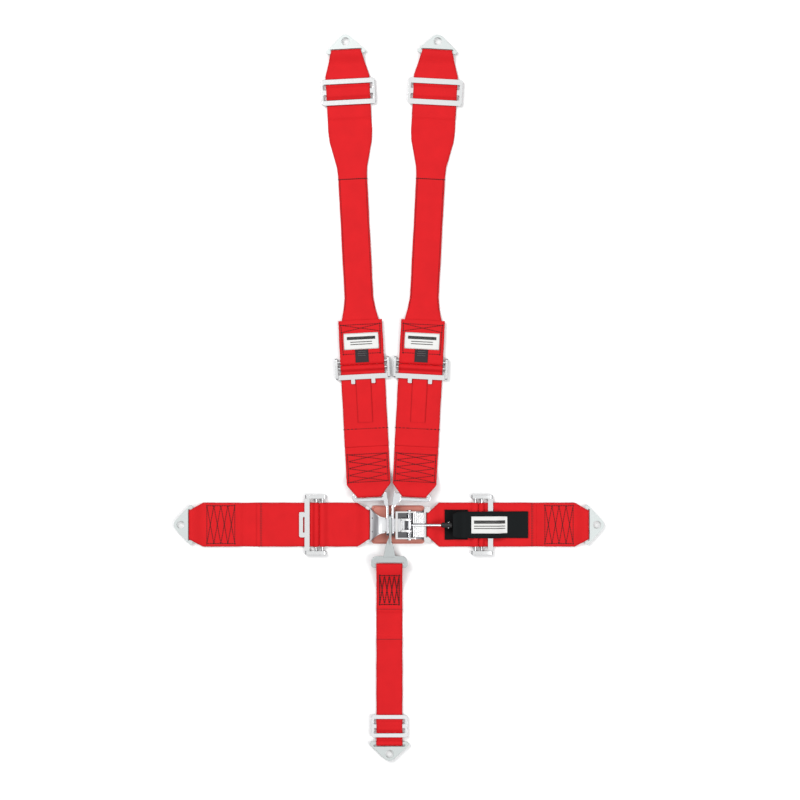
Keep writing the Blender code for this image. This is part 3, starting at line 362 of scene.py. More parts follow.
def cloth_material(name, colour, shade, rib, weft, roughness, sheen=0.25, bump=0.00018):
    material = bpy.data.materials.new(name)
    material.use_nodes = True
    tree = material.node_tree
    shader = tree.nodes["Principled BSDF"]
    cloth = add_node(tree, "ShaderNodeGroup", node_tree=CLOTH)
    cloth.inputs["Colour"].default_value = (*colour, 1)
    cloth.inputs["Shade"].default_value = (*shade, 1)
    cloth.inputs["Rib pitch"].default_value = rib
    cloth.inputs["Weft pitch"].default_value = weft
    cloth.inputs["Roughness"].default_value = roughness
    relief = tree.nodes.new("ShaderNodeBump")
    relief.inputs["Distance"].default_value = bump
    relief.inputs["Strength"].default_value = 0.8
    tree.links.new(cloth.outputs["Height"], relief.inputs["Height"])
    tree.links.new(relief.outputs[0], shader.inputs["Normal"])
    tree.links.new(cloth.outputs["Colour"], shader.inputs["Base Color"])
    tree.links.new(cloth.outputs["Roughness"], shader.inputs["Roughness"])
    shader.inputs["Sheen Weight"].default_value = sheen
    shader.inputs["Specular IOR Level"].default_value = 0.2
    return material


RED_WEB = cloth_material("Red webbing", (0.76, 0.010, 0.014), (0.40, 0.003, 0.006), 0.0012, 0.0019, 0.66, 0.0)
BLACK_WEB = cloth_material(
    "Black webbing", (0.007, 0.009, 0.010), (0.002, 0.003, 0.003), 0.0014, 0.0022, 0.8, 0.0
)
FUZZY_BLACK = cloth_material(
    "Black hook tape", (0.005, 0.005, 0.006), (0.002, 0.002, 0.002), 0.0016, 0.0016, 0.9, 0.03
)
LABEL_CLOTH = cloth_material(
    "White label", (0.80, 0.80, 0.78), (0.62, 0.62, 0.60), 0.0006, 0.0006, 0.6, 0.0, 0.00005
)
CARE_CLOTH = cloth_material(
    "Care tag", (0.034, 0.026, 0.030), (0.020, 0.016, 0.018), 0.0006, 0.0006, 0.55, 0.0, 0.00005
)
print("cloths:", 5)

# %% [markdown]
# ## Finishes: plated steel, leather and rubber
# Three platings are on show: mirror chrome on the buckle, a satin white plating on the
# adjusters and slides, and matt grey zinc on the bolt plates. One group gives them all their
# handling marks, as fine scratches and cloudy smears in the roughness.


# %% Node group for plated metal
def build_plating_group():
    group, source, sink = new_group(
        "Plating",
        [
            ("Colour", "NodeSocketColor", (0.8, 0.8, 0.8, 1)),
            ("Smear", "NodeSocketColor", (0.6, 0.6, 0.6, 1)),
            ("Roughness", "NodeSocketFloat", 0.2),
            ("Unevenness", "NodeSocketFloat", 0.1),
            ("Grain", "NodeSocketFloat", 180.0),
            ("Side shade", "NodeSocketColor", (0.6, 0.6, 0.6, 1)),
        ],
        [("Colour", "NodeSocketColor"), ("Roughness", "NodeSocketFloat"), ("Height", "NodeSocketFloat")],
    )
    place = group.nodes.new("ShaderNodeTexCoord")
    cloud = group.nodes.new("ShaderNodeTexNoise")
    cloud.inputs["Detail"].default_value = 5.0
    group.links.new(source.outputs["Grain"], cloud.inputs["Scale"])
    group.links.new(place.outputs["Object"], cloud.inputs["Vector"])
    stretch = group.nodes.new("ShaderNodeMapping")
    stretch.inputs["Scale"].default_value = (2500, 160, 400)
    stretch.inputs["Rotation"].default_value = (0, 0, 0.5)
    group.links.new(place.outputs["Object"], stretch.inputs["Vector"])
    scratch = group.nodes.new("ShaderNodeTexNoise")
    scratch.inputs["Scale"].default_value = 1.0
    group.links.new(stretch.outputs[0], scratch.inputs["Vector"])
    marks = math_node(group, "POWER", scratch.outputs[0], 3.0)
    both = math_node(group, "ADD", math_node(group, "SUBTRACT", cloud.outputs[0], 0.5), marks)
    rough = math_node(group, "MULTIPLY", both, source.outputs["Unevenness"])
    rough = math_node(group, "ADD", rough, source.outputs["Roughness"])
    colour = mix_colour(group, cloud.outputs[0], source.outputs["Colour"], source.outputs["Smear"])
    # Painted shade: the more a face tilts away from straight up, as bevels and sides do, the more its colour
    # is mixed toward a darker one.
    facing = group.nodes.new("ShaderNodeSeparateXYZ")
    group.links.new(place.outputs["Normal"], facing.inputs[0])
    level = add_node(group, "ShaderNodeMapRange", interpolation_type="SMOOTHSTEP")
    level.inputs["From Min"].default_value = 0.50
    level.inputs["From Max"].default_value = 0.96
    group.links.new(math_node(group, "ABSOLUTE", facing.outputs[2]), level.inputs["Value"])
    colour = mix_colour(group, level.outputs[0], source.outputs["Side shade"], colour)
    for label, value in (("Colour", colour), ("Roughness", rough), ("Height", cloud.outputs[0])):
        group.links.new(value, sink.inputs[label])
    return group


PLATING = build_plating_group()


def plated_material(name, colour, smear, roughness, unevenness, grain, metallic=1.0, bump=0.000004, edge=1.0):
    material = bpy.data.materials.new(name)
    material.use_nodes = True
    tree = material.node_tree
    shader = tree.nodes["Principled BSDF"]
    coat = add_node(tree, "ShaderNodeGroup", node_tree=PLATING)
    coat.inputs["Colour"].default_value = (*colour, 1)
    coat.inputs["Smear"].default_value = (*smear, 1)
    coat.inputs["Roughness"].default_value = roughness
    coat.inputs["Unevenness"].default_value = unevenness
    coat.inputs["Grain"].default_value = grain
    # The darker colour for the painted shade on tilted faces: the smear colour times edge.
    coat.inputs["Side shade"].default_value = tuple(c * edge for c in smear) + (1,)
    relief = tree.nodes.new("ShaderNodeBump")
    relief.inputs["Distance"].default_value = bump
    tree.links.new(coat.outputs["Height"], relief.inputs["Height"])
    tree.links.new(relief.outputs[0], shader.inputs["Normal"])
    tree.links.new(coat.outputs["Colour"], shader.inputs["Base Color"])
    tree.links.new(coat.outputs["Roughness"], shader.inputs["Roughness"])
    shader.inputs["Metallic"].default_value = metallic
    return material


# The edge number sets how dark the painted shade on tilted faces is, as a share of the smear colour.
CHROME = plated_material("Chrome", (0.90, 0.91, 0.93), (0.80, 0.81, 0.84), 0.10, 0.10, 260, edge=0.30)
POLISHED = plated_material(
    "Polished plate", (0.90, 0.91, 0.92), (0.82, 0.83, 0.85), 0.30, 0.10, 260, edge=0.35
)
SATIN = plated_material("Satin plating", (0.88, 0.89, 0.89), (0.78, 0.79, 0.80), 0.24, 0.14, 340, edge=0.42)
ZINC = plated_material(
    "Zinc plate", (0.66, 0.70, 0.69), (0.55, 0.59, 0.585), 0.46, 0.2, 480, 0.85, 0.00002, 0.6
)
GREY_ZINC = plated_material(
    "Grey zinc", (0.52, 0.555, 0.555), (0.43, 0.46, 0.46), 0.44, 0.2, 480, 0.85, 0.00002, 0.6
)
RUBBER = plated_material(
    "Black grip", (0.008, 0.008, 0.009), (0.004, 0.004, 0.005), 0.5, 0.2, 600, 0.0, 0.00004
)
LEATHER = plated_material("Pad leather", (0.66, 0.25, 0.19), (0.54, 0.17, 0.13), 0.5, 0.25, 900, 0.0, 0.00016)
THREAD = plated_material("Dark thread", (0.020, 0.002, 0.003), (0.008, 0.001, 0.002), 0.8, 0.1, 2000, 0.0)
BLACK_THREAD = plated_material(
    "Black thread", (0.006, 0.004, 0.005), (0.003, 0.002, 0.003), 0.8, 0.1, 2000, 0.0
)
RED_THREAD = plated_material("Red thread", (0.30, 0.005, 0.008), (0.20, 0.003, 0.005), 0.8, 0.1, 2000, 0.0)


def recess_shade_material(name, low, high, recess_shade, bright):
    """Chrome above the high level, and painted shade, a dark grey, in the recesses below the low one."""
    material = CHROME.copy()
    material.name = name
    tree = material.node_tree
    shader = tree.nodes["Principled BSDF"]
    place = tree.nodes.new("ShaderNodeTexCoord")
    split = tree.nodes.new("ShaderNodeSeparateXYZ")
    level = add_node(tree, "ShaderNodeMapRange", interpolation_type="SMOOTHSTEP")
    level.inputs["From Min"].default_value = low
    level.inputs["From Max"].default_value = high
    tree.links.new(place.outputs["Object"], split.inputs[0])
    tree.links.new(split.outputs[2], level.inputs["Value"])
    outside = math_node(tree, "GREATER_THAN", split.outputs[0], 0.0575)
    unshaded = math_node(tree, "MAXIMUM", level.outputs[0], outside)
    colour = mix_colour(tree, unshaded, (recess_shade, recess_shade, recess_shade * 1.05, 1), (bright, bright, bright, 1))
    tree.links.new(colour, shader.inputs["Base Color"])
    return material


# Painted shade in the latch's recesses, under the claw and between the cover's flutes: dark grey below a
# height, kept bright beyond x = 0.0575.
LATCH_STEEL = recess_shade_material("Latch steel", 0.0075, 0.0150, 0.16, 0.90)
CLAW_STEEL = recess_shade_material("Claw steel", 0.0130, 0.0185, 0.30, 0.92)
COVER_STEEL = recess_shade_material("Fluted steel", 0.0100, 0.0112, 0.30, 0.93)
print("metals, leather and thread:", 13)

# %% [markdown]
# ## Softening the fittings
# Stamped and plated steel never has razor edges, and it is the thin bright line along each
# softened edge that says metal. Each fitting is copied, its loose triangles are merged, its
# flat faces are made whole, and a small bevel is run round it. The copy then stands for the
# fitting on the same body.

# %% Dress the metal fittings
BODY_OF = {node: body for body, nodes in frame["record"]["behaviour"]["bodies"].items() for node in nodes}


def merged_copy(node, flatten):
    """A copy of a fitting's mesh with its triangles joined up; flatten makes flat faces whole."""
    mesh = frame["nodes"][node].data.copy()
    shell = bmesh.new()
    shell.from_mesh(mesh)
    bmesh.ops.remove_doubles(shell, verts=shell.verts, dist=2e-6)
    if flatten:
        bmesh.ops.dissolve_limit(
            shell,
            angle_limit=math.radians(1.0),
            verts=shell.verts,
            edges=shell.edges,
            use_dissolve_boundaries=False,
        )
    shell.to_mesh(mesh)
    shell.free()
    return mesh


def apply_modifiers(piece):
    graph = bpy.context.evaluated_depsgraph_get()
    finished = bpy.data.meshes.new_from_object(piece.evaluated_get(graph))
    piece.modifiers.clear()
    piece.data = finished
    return finished


def dress(node, material, edge=0.0004, segments=2):
    mesh = merged_copy(node, True)
    piece = make_piece(node + "_finish", mesh, material, BODY_OF[node])
    if edge:
        soften = piece.modifiers.new("Softened edges", "BEVEL")
        soften.width = edge
        soften.segments = segments
        soften.limit_method = "ANGLE"
        soften.angle_limit = math.radians(40)
        soften.use_clamp_overlap = True
        soften.harden_normals = True
    mesh.shade_smooth()
    mesh.set_sharp_from_angle(angle=math.radians(38))
    apply_modifiers(piece)
    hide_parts(node)
    return piece


def forge(node, material, voxel=0.00045, rounds=5):
    """A forged look: the fitting is remeshed finely and smoothed, so that every edge turns over softly."""
    piece = make_piece(node + "_finish", merged_copy(node, False), material, BODY_OF[node])
    grid = piece.modifiers.new("Fine grid", "REMESH")
    grid.mode = "VOXEL"
    grid.voxel_size = voxel
    soften = piece.modifiers.new("Softened", "SMOOTH")
    soften.factor = 0.5
    soften.iterations = rounds
    thin = piece.modifiers.new("Fewer faces", "DECIMATE")
    thin.ratio = 0.5
    finished = apply_modifiers(piece)
    finished.materials.clear()
    finished.materials.append(material)
    finished.shade_smooth()
    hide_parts(node)
    print(node, len(finished.polygons), "faces")
    return piece


dress("link_plate", POLISHED, 0.0008, 3)
dress("latch_base", LATCH_STEEL, 0.0006, 3)
forge("latch_claw", CLAW_STEEL, 0.0003, 5)
DARK_STEEL = plated_material("Dark rivet", (0.22, 0.22, 0.23), (0.16, 0.16, 0.17), 0.4, 0.2, 400)


def link_top(x):
    """Upper face of the link plate, which climbs from its bar to the tongue."""
    share = min(1.0, max(0.0, (x + 0.0359) / 0.0199))
    return LOW_BAR_Z + (TONGUE_Z - LOW_BAR_Z) * share * share * (3 - 2 * share) + 0.0015


cover_low, cover_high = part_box("latch_cover")
print("latch cover", [round(v * 1000, 1) for v in (*cover_low, *cover_high)], "mm")
dress("latch_cover", COVER_STEEL, 0)
dress("latch_pin", CHROME, 0.0003)
dress("lever_rod", CHROME, 0.0003)
for side in ("left", "right"):
    forge(f"shoulder_{side}_link", CHROME, 0.0004, 7)
    dress(f"lap_{side}_adjuster_frame", SATIN, 0.0009, 3)
    dress(f"shoulder_{side}_adjuster_frame", SATIN, 0.0009, 3)
    dress(f"shoulder_{side}_three_bar_slide", SATIN, 0.0009, 3)
    dress(f"lap_{side}_anchor_plate", ZINC, 0.0009, 3)
    dress(f"shoulder_{side}_anchor_plate", ZINC, 0.0009, 3)
forge("crotch_link", GREY_ZINC, 0.0004, 7)
dress("crotch_three_bar_slide", POLISHED, 0.0009, 3)
dress("crotch_anchor_plate", ZINC, 0.0009, 3)
for sign in (-1, 1):
    head = bpy.data.meshes.new("rivet")
    shell = bmesh.new()
    bmesh.ops.create_uvsphere(shell, u_segments=20, v_segments=10, radius=0.0013)
    bmesh.ops.scale(shell, verts=shell.verts, vec=(1, 1, 0.45))
    at = link_top(-0.0300)
    bmesh.ops.translate(shell, verts=shell.verts, vec=(-0.0300, sign * 0.0115, at))
    shell.to_mesh(head)
    shell.free()
    head.shade_smooth()
    make_piece(f"link_rivet_{'low' if sign < 0 else 'high'}", head, DARK_STEEL, "buckle")
print("fittings dressed")

# %% [markdown]
# ## Turned and wound metal
# The loose bar in each adjuster is knurled so that it bites the webbing, and the two torsion
# springs on the latch pin are wound wire. Both follow a rule round an axis, so both are swept
# from numbers: the knurl as alternating radii, the spring as a tube on a helix.


# %% Loose bars, springs and grip
def round_skin(name, vertices, sides, sharp):
    """Rings of points joined into a closed tube, with its sharp edges kept."""
    faces = []
    for row in range(len(vertices) // sides - 1):
        for k in range(sides):
            a, b = row * sides + k, row * sides + (k + 1) % sides
            faces.append((a, b, b + sides, a + sides))
    faces.append(tuple(reversed(range(sides))))
    faces.append(tuple(range(len(vertices) - sides, len(vertices))))
    mesh = bpy.data.meshes.new(name)
    mesh.from_pydata(vertices, [], faces)
    mesh.shade_smooth()
    mesh.set_sharp_from_angle(angle=math.radians(sharp))
    return mesh


def swept_tube(points, radius, sides=10):
    """A closed round tube on a line of points."""
    vertices = []
    side = None
    for i, point in enumerate(points):
        ahead = points[min(i + 1, len(points) - 1)]
        back = points[max(i - 1, 0)]
        along = (ahead - back).normalized()
        if side is None:
            side = along.orthogonal().normalized()
        side = (side - along * side.dot(along)).normalized()
        other = along.cross(side)
        for k in range(sides):
            angle = math.tau * k / sides
            vertices.append(point + side * math.cos(angle) * radius + other * math.sin(angle) * radius)
    return round_skin("tube", vertices, sides, 60)


def turned_bar(stations, start, along, sides=32, knurl=0.0):
    """A turned bar through (distance, radius) stations; the knurl is cut into every second flute."""
    along = along.normalized()
    side = along.orthogonal().normalized()
    other = along.cross(side)
    vertices = []
    for distance, radius, cut in stations:
        for k in range(sides):
            angle = math.tau * k / sides
            r = radius - (knurl if cut and k % 2 else 0.0)
            centre = start + along * distance
            vertices.append(centre + side * math.cos(angle) * r + other * math.sin(angle) * r)
    return round_skin("bar", vertices, sides, 35)


BAR_R = 0.0022


def loose_bar(node, place, v, half):
    start = place @ Vector((-half, v, ADJUSTER_Z))
    along = place.to_3x3() @ Vector((1, 0, 0))
    ends = 0.0050
    stations = [
        (0, BAR_R * 0.8, False),
        (0.0004, BAR_R, False),
        (ends, BAR_R, False),
        (ends + 0.0003, BAR_R, True),
        (2 * half - ends - 0.0003, BAR_R, True),
        (2 * half - ends, BAR_R, False),
        (2 * half - 0.0004, BAR_R, False),
        (2 * half, BAR_R * 0.8, False),
    ]
    mesh = turned_bar(stations, start, along, 32, 0.00016)
    piece = make_piece(node + "_finish", mesh, SATIN, BODY_OF[node])
    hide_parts(node)
    return piece


def coil_spring(node, near, far):
    wire = 0.00078
    turns = 4.5
    steps = 110
    radius = 0.0037
    points = []
    for k in range(steps + 1):
        share = k / steps
        angle = math.tau * turns * share
        y = near + wire + (far - near - 2 * wire) * share
        points.append(Vector((PIN_X + radius * math.cos(angle), y, PIN_Z + radius * math.sin(angle))))
    piece = make_piece(node + "_finish", swept_tube(points, wire), CHROME, "buckle")
    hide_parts(node)
    return piece


LAP_EDGES = {"left": 0.1455, "right": 0.1744}
SHOULDER_EDGE = 0.2006
for side, place in (("left", LAP_LEFT), ("right", LAP_RIGHT)):
    loose_bar(f"lap_{side}_loose_bar", place, LAP_EDGES[side] - LOOSE_BAR_AT, 0.0442)
for side, place in (("left", SHOULDER_LEFT), ("right", SHOULDER_RIGHT)):
    loose_bar(f"shoulder_{side}_loose_bar", place, SHOULDER_EDGE + LOOSE_BAR_AT, 0.0417)
coil_spring("latch_spring_lower", -0.0207, -0.0118)
coil_spring("latch_spring_upper", 0.0118, 0.0207)

grip_low, grip_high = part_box("lever_grip")
grip_long = grip_high[0] - grip_low[0]
grip_stations = [(0, 0.0030, False), (0.0012, 0.0042, False), (0.0030, 0.0046, False)]
grip_stations += [(0.0030 + k * 0.0016, 0.0046 if k % 2 else 0.0041, False) for k in range(1, 8)]
grip_stations += [(grip_long - 0.0022, 0.0045, False), (grip_long - 0.0008, 0.0040, False)]
grip_stations += [(grip_long, 0.0028, False)]
grip = make_piece(
    "lever_grip_finish",
    turned_bar(grip_stations, Vector((grip_low[0], 0, PIN_Z)), Vector((1, 0, 0)), 28),
    RUBBER,
    "lever",
)
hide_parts("lever_grip")
for sign in (-1, 1):
    eyelet = turned_bar(
        [(0, 0.0015, False), (0.0004, 0.0019, False), (0.0011, 0.0019, False), (0.0014, 0.0014, False)],
        Vector((grip_high[0] - 0.0060, sign * 0.0038, PIN_Z)),
        Vector((0, sign, 0)),
        20,
    )
    make_piece(f"grip_rivet_{'low' if sign < 0 else 'high'}", eyelet, CHROME, "lever")
print("bars, springs and grip made")

# %% [markdown]
# ## The red straps
# Now the straps themselves, one function call each. The lap straps are a short sewn band on
# the buckle's side and a long running strap on the anchor's side; the shoulder straps have a
# sewn lower piece, a label piece and a long upper strap that is folded narrow in the middle.


# %% Strap pieces
def strap(
    name, path, widths, place, body, replaces=None, material=None, thickness=None
):
    """A ribbon of cloth along a path."""
    table = thickness or [(0, WEB_T), (1, WEB_T)]
    mesh, length = strap_mesh(path, widths, table, place)
    piece = make_piece(name, mesh, material or RED_WEB, body)
    if replaces:
        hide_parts(replaces)
    width = 2 * max(half for _, half in widths)
    area = flat_area(path, widths)
    if area > 0.97 * width * length:
        area = None
    return piece


ANCHOR_NECK = 0.0255
NECK_RUN = 0.019
HOLE_TO_WEB = 0.0137
HOLE_TO_BAR = HOLE_TO_WEB + LOOP_OUT
SEWN = 0.0860 + HOLE_TO_WEB
SHOULDER_HOLE = 0.7745
CROTCH_HOLE = 0.3240


def bar_turn(at, start, end, outer):
    """A sewn turn round an adjuster's fixed bar, swelled on the outer side: +1 or -1."""
    turn = arc((at, ADJUSTER_Z), ROLL_MID, start, end)[1:]
    return [(at + (v - at) * (TURN_SWELL if (v - at) * outer > 0 else 1.0), z) for v, z in turn]


LAP_HOLES = {"left": 0.3558, "right": 0.3509}
LAP_TAILS = {"left": 0.2266, "right": 0.2480}
LAP_ENDS = {"left": (0.0349, 0.0250), "right": (0.0615, 0.0200)}


def lap_inner(side, place, body):
    web_end, neck = LAP_ENDS[side]
    bar = web_end + LOOP_OUT
    fixed = LAP_EDGES[side] - FIXED_BAR_AT
    meet = (bar + fixed) / 2
    path = [(meet + 0.001, FIRST_Z), (fixed, FIRST_Z)]
    path += bar_turn(fixed, -90, 90, 1)
    path += ease((fixed, ADJUSTER_Z + ROLL_MID), (fixed - 0.012, SECOND_Z))[1:]
    path += ease((bar + 0.022, SECOND_Z), (bar, LOW_BAR_Z + LOOP_MID))
    path += arc((bar, LOW_BAR_Z), LOOP_MID, 90, 270)[1:]
    path += [(meet - 0.001, FIRST_Z)]
    widths = [(web_end + 0.002, neck), (web_end + 0.002 + NECK_RUN, WEB_HALF), (1, WEB_HALF)]
    node = f"lap_{side}_inner_webbing"
    return strap(node + "_cloth", path, widths, place, body, node)


def lap_outer(side, place):
    hole = LAP_HOLES[side]
    bar = hole - HOLE_TO_BAR
    sewn = hole - SEWN
    path = [(sewn, FIRST_Z), (bar, FIRST_Z)]
    path += arc((bar, LOW_BAR_Z), LOOP_MID, -90, 90)[1:]
    path += ease((bar, LOW_BAR_Z + LOOP_MID), (bar - 0.022, SECOND_Z))[1:]
    path += ease((sewn, SECOND_Z), (sewn - 0.008, FIRST_Z), 8)
    path += roll(LAP_EDGES[side], 1)
    path += [(LAP_TAILS[side], SECOND_Z)]
    widths = [(0, WEB_HALF), (bar - NECK_RUN, WEB_HALF), (bar + 0.002, ANCHOR_NECK)]
    node = f"lap_{side}_outer_webbing"
    piece = strap(node + "_cloth", path, widths, place, None, node)
    return slide_with_adjuster(piece)


def slide_with_adjuster(piece):
    """The running strap slips through the adjuster, so it rides on no body and its transform is baked into
    the mesh.
    """
    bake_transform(piece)
    return piece


lap_inner("left", LAP_LEFT, "lap_left_strap")
lap_inner("right", LAP_RIGHT, "buckle")
lap_outer("left", LAP_LEFT)
lap_outer("right", LAP_RIGHT)
print("lap straps woven")

# %% [markdown]
# ## Shoulder straps
# Each shoulder strap has a lower run sewn round the buckle's link, a folded end that carries the
# labels, and a long upper run whose edges are folded in to make a narrow sleeve. Each is a ribbon
# laid along a side view that clears the adjuster and the slide. The lower run slips through the
# adjuster, so it rides on no body.


# %% Shoulder straps
LINK_SEWN = 0.0780
SHOULDER_TAIL = 0.0867
FIXED = SHOULDER_EDGE + FIXED_BAR_AT
LABEL_TOP = 0.3010
SLEEVE = (0.3400, 0.5420, 0.6240)
SLEEVE_HALF = 0.0247
SHOULDER_BAR = SHOULDER_HOLE - HOLE_TO_BAR
SHOULDER_RETURN = 0.6480
SHOULDER_PLACES = {"left": SHOULDER_LEFT, "right": SHOULDER_RIGHT}


def link_rise(bar_v, sewn):
    """Both layers from the floor up to the link's bar, round it, and back down."""
    path = [(sewn, FIRST_Z)]
    path += ease((bar_v + RISE_RUN, FIRST_Z), (bar_v, TONGUE_Z - LOOP_MID))
    path += arc((bar_v, TONGUE_Z), LOOP_MID, 270, 90)[1:]
    path += ease((bar_v, TONGUE_Z + LOOP_MID), (bar_v + RISE_RUN, SECOND_Z))[1:]
    return path


def shoulder_lower(side):
    path = link_rise(LOOP_OUT, LINK_SEWN)
    path += ease((LINK_SEWN, SECOND_Z), (LINK_SEWN + 0.007, FIRST_Z), 8)
    path += roll(SHOULDER_EDGE, -1)
    path += [(SHOULDER_TAIL, SECOND_Z)]
    widths = [(0.002, 0.0210), (0.0225, WEB_HALF), (1, WEB_HALF)]
    node = f"shoulder_{side}_lower_webbing"
    place = SHOULDER_PLACES[side]
    piece = strap(node + "_cloth", path, widths, place, None, node)
    return slide_on_strap(piece)


def slide_on_strap(piece):
    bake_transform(piece)
    return piece


def shoulder_tab(side):
    low = THIRD_Z - 0.0002
    path = [(SHOULDER_EDGE - 0.0731, low), (SHOULDER_EDGE - 0.0006, low)]
    node = f"shoulder_{side}_pull_tab"
    widths = [(0, 0.0130), (1, 0.0130)]
    return strap(
        node + "_cloth",
        path,
        widths,
        SHOULDER_PLACES[side],
        f"shoulder_{side}_adjuster",
        node,
        thickness=[(0, 0.0010), (1, 0.0010)],
    )


def shoulder_label_end(side):
    top_z = FIRST_Z + WEB_T * 3 + GAP * 2
    path = [(LABEL_TOP - 0.004, FIRST_Z), (FIXED, FIRST_Z)]
    path += bar_turn(FIXED, 270, 90, -1)
    path += ease((FIXED, ADJUSTER_Z + ROLL_MID), (FIXED + 0.014, top_z))[1:]
    path += [(LABEL_TOP, top_z)]
    node = f"shoulder_{side}_label_end"
    widths = [(0, WEB_HALF), (1, WEB_HALF)]
    place = SHOULDER_PLACES[side]
    return strap(node + "_cloth", path, widths, place, f"shoulder_{side}_belt", node)


def shoulder_upper(side):
    double = WEB_T * 2
    inside = GAP + WEB_T + GAP + double / 2
    outside = GAP + double / 2
    path = [(0.2620, inside)]
    path += ease((LABEL_TOP + 0.001, inside), (LABEL_TOP + 0.020, outside), 8)
    path += [(SLEEVE[1], outside), (SLEEVE[2], FIRST_Z)]
    path += ease((SHOULDER_RETURN - 0.008, FIRST_Z), (SHOULDER_RETURN, SECOND_Z), 8)
    path += ease((SHOULDER_BAR - 0.022, SECOND_Z), (SHOULDER_BAR, LOW_BAR_Z + LOOP_MID))
    path += arc((SHOULDER_BAR, LOW_BAR_Z), LOOP_MID, 90, -90)[1:]
    path += [(SHOULDER_RETURN + 0.0005, FIRST_Z)]
    widths = [
        (0.2620, 0.0340),
        (LABEL_TOP, 0.0315),
        (LABEL_TOP + 0.018, 0.0275),
        (SLEEVE[0], SLEEVE_HALF),
        (SLEEVE[1], SLEEVE_HALF),
        (SLEEVE[1] + 0.020, SLEEVE_HALF + 0.0015),
        (SLEEVE[2] - 0.020, WEB_HALF - 0.0015),
        (SLEEVE[2], WEB_HALF),
        (SHOULDER_BAR - NECK_RUN - 0.020, WEB_HALF),
        (SHOULDER_BAR + 0.002, ANCHOR_NECK),
    ]
    thickness = [(0, double), (SLEEVE[1], double), (SLEEVE[2], WEB_T), (1, WEB_T)]
    node = f"shoulder_{side}_upper_webbing"
    return strap(
        node + "_cloth",
        path,
        widths,
        SHOULDER_PLACES[side],
        f"shoulder_{side}_belt",
        node,
        thickness=thickness,
    )


SHOULDER_SLIDE = (0.6890, 0.0445, 0.0088)  # middle along the strap, length, width of a bar
CROTCH_SLIDE = (0.2769, 0.0380, 0.0068)
SLIDE_T = 0.0025


def slide_hump(node, slide, half, place, body):
    middle, long, bar = slide
    reach = long / 2 - bar - GAP * 3
    base = SECOND_Z + WEB_T / 2 + GAP
    low = base + WEB_T / 2
    high = base + SLIDE_T + GAP + WEB_T / 2
    flat = bar / 2 + 0.0008
    path = ease((middle - reach, low), (middle - flat, high), 9)
    path += ease((middle + flat, high), (middle + reach, low), 9)
    return strap(node + "_cloth", path, [(0, half), (1, half)], place, body, node)


for side in ("left", "right"):
    shoulder_lower(side)
    shoulder_tab(side)
    shoulder_label_end(side)
    shoulder_upper(side)
    node = f"shoulder_{side}_slide_webbing"
    slide_hump(node, SHOULDER_SLIDE, WEB_HALF, SHOULDER_PLACES[side], f"shoulder_{side}_slide")
print("shoulder straps woven")

# %% [markdown]
# ## Crotch strap
# The narrow strap is sewn round its link at one end and round the bolt plate at the other. It is
# one long ribbon that doubles back at each end and steps down where the doubled part stops. A
# short ribbon over the slide's middle bar moves with the slide.


# %% Crotch strap
CROTCH_SEWN = 0.0794
CROTCH_RETURN = 0.1290
CROTCH_BAR = CROTCH_HOLE - HOLE_TO_BAR

crotch_path = link_rise(LOOP_OUT, CROTCH_SEWN)
crotch_path += ease((CROTCH_SEWN, SECOND_Z), (CROTCH_SEWN + 0.008, FIRST_Z), 8)
crotch_path += ease((CROTCH_RETURN - 0.009, FIRST_Z), (CROTCH_RETURN - 0.001, SECOND_Z), 8)
crotch_path += ease((CROTCH_BAR - 0.009, SECOND_Z), (CROTCH_BAR, LOW_BAR_Z + LOOP_MID))
crotch_path += arc((CROTCH_BAR, LOW_BAR_Z), LOOP_MID, 90, -90)[1:]
crotch_path += [(CROTCH_RETURN, FIRST_Z)]
strap(
    "crotch_webbing_cloth",
    crotch_path,
    [(0, CROTCH_HALF), (1, CROTCH_HALF)],
    CROTCH,
    "crotch_strap",
    "crotch_webbing",
)
slide_hump("crotch_slide_webbing", CROTCH_SLIDE, CROTCH_HALF, CROTCH, "crotch_slide")
print("crotch strap woven")

# %% [markdown]
# ## The black pull strap
# A black strap hangs from the lever's grip and lies over the adjuster, and hook tape sewn to
# the belt holds it down. Its near end dips onto the tape and then rises over the adjuster's
# bars, so it is one more path for the strap maker.

# %% Pull strap and tape
BLACK_T = 0.0016
STACK_TOP = SECOND_Z + WEB_T / 2
patch_low = STACK_TOP + GAP
strap(
    "keeper_patch_cloth",
    [(0.0923, patch_low + BLACK_T / 2), (0.1314, patch_low + BLACK_T / 2)],
    [(0, 0.0258), (1, 0.0258)],
    LAP_RIGHT,
    "buckle",
    "keeper_patch",
    FUZZY_BLACK,
    [(0, BLACK_T), (1, BLACK_T)],
)

RIGHT_EDGE = LAP_EDGES["right"]
near_z = patch_low + BLACK_T + GAP * 2 + BLACK_T / 2
over_z = ADJUSTER_Z + ROLL_MID + WEB_T / 2 + GAP * 5 + BLACK_T / 2
far_z = STACK_TOP + GAP * 2 + BLACK_T / 2
pull_path = ease((0.1060, PIN_Z), (0.1260, near_z), 14)
pull_path += ease((0.1260, near_z), (RIGHT_EDGE - 0.0369, over_z), 10)[1:]
pull_path += ease((RIGHT_EDGE + 0.003, over_z), (RIGHT_EDGE + 0.024, far_z), 10)
pull_path += [(RIGHT_EDGE + 0.0596, far_z)]
strap(
    "lever_strap_cloth",
    pull_path,
    [(0, 0.0185), (0.1060, 0.0190), (0.1150, 0.0230), (1, 0.0230)],
    LAP_RIGHT,
    "lever_pull",
    "lever_strap",
    BLACK_WEB,
    [(0, BLACK_T), (1, BLACK_T)],
)
print("pull strap made")


# %% [markdown]
# ## Labels
# The labels are plain white cloth with a few dark stripes, bordered on the shoulders, no words.
# The dark care tag hangs out from under its label and drapes over the webbing's turn.


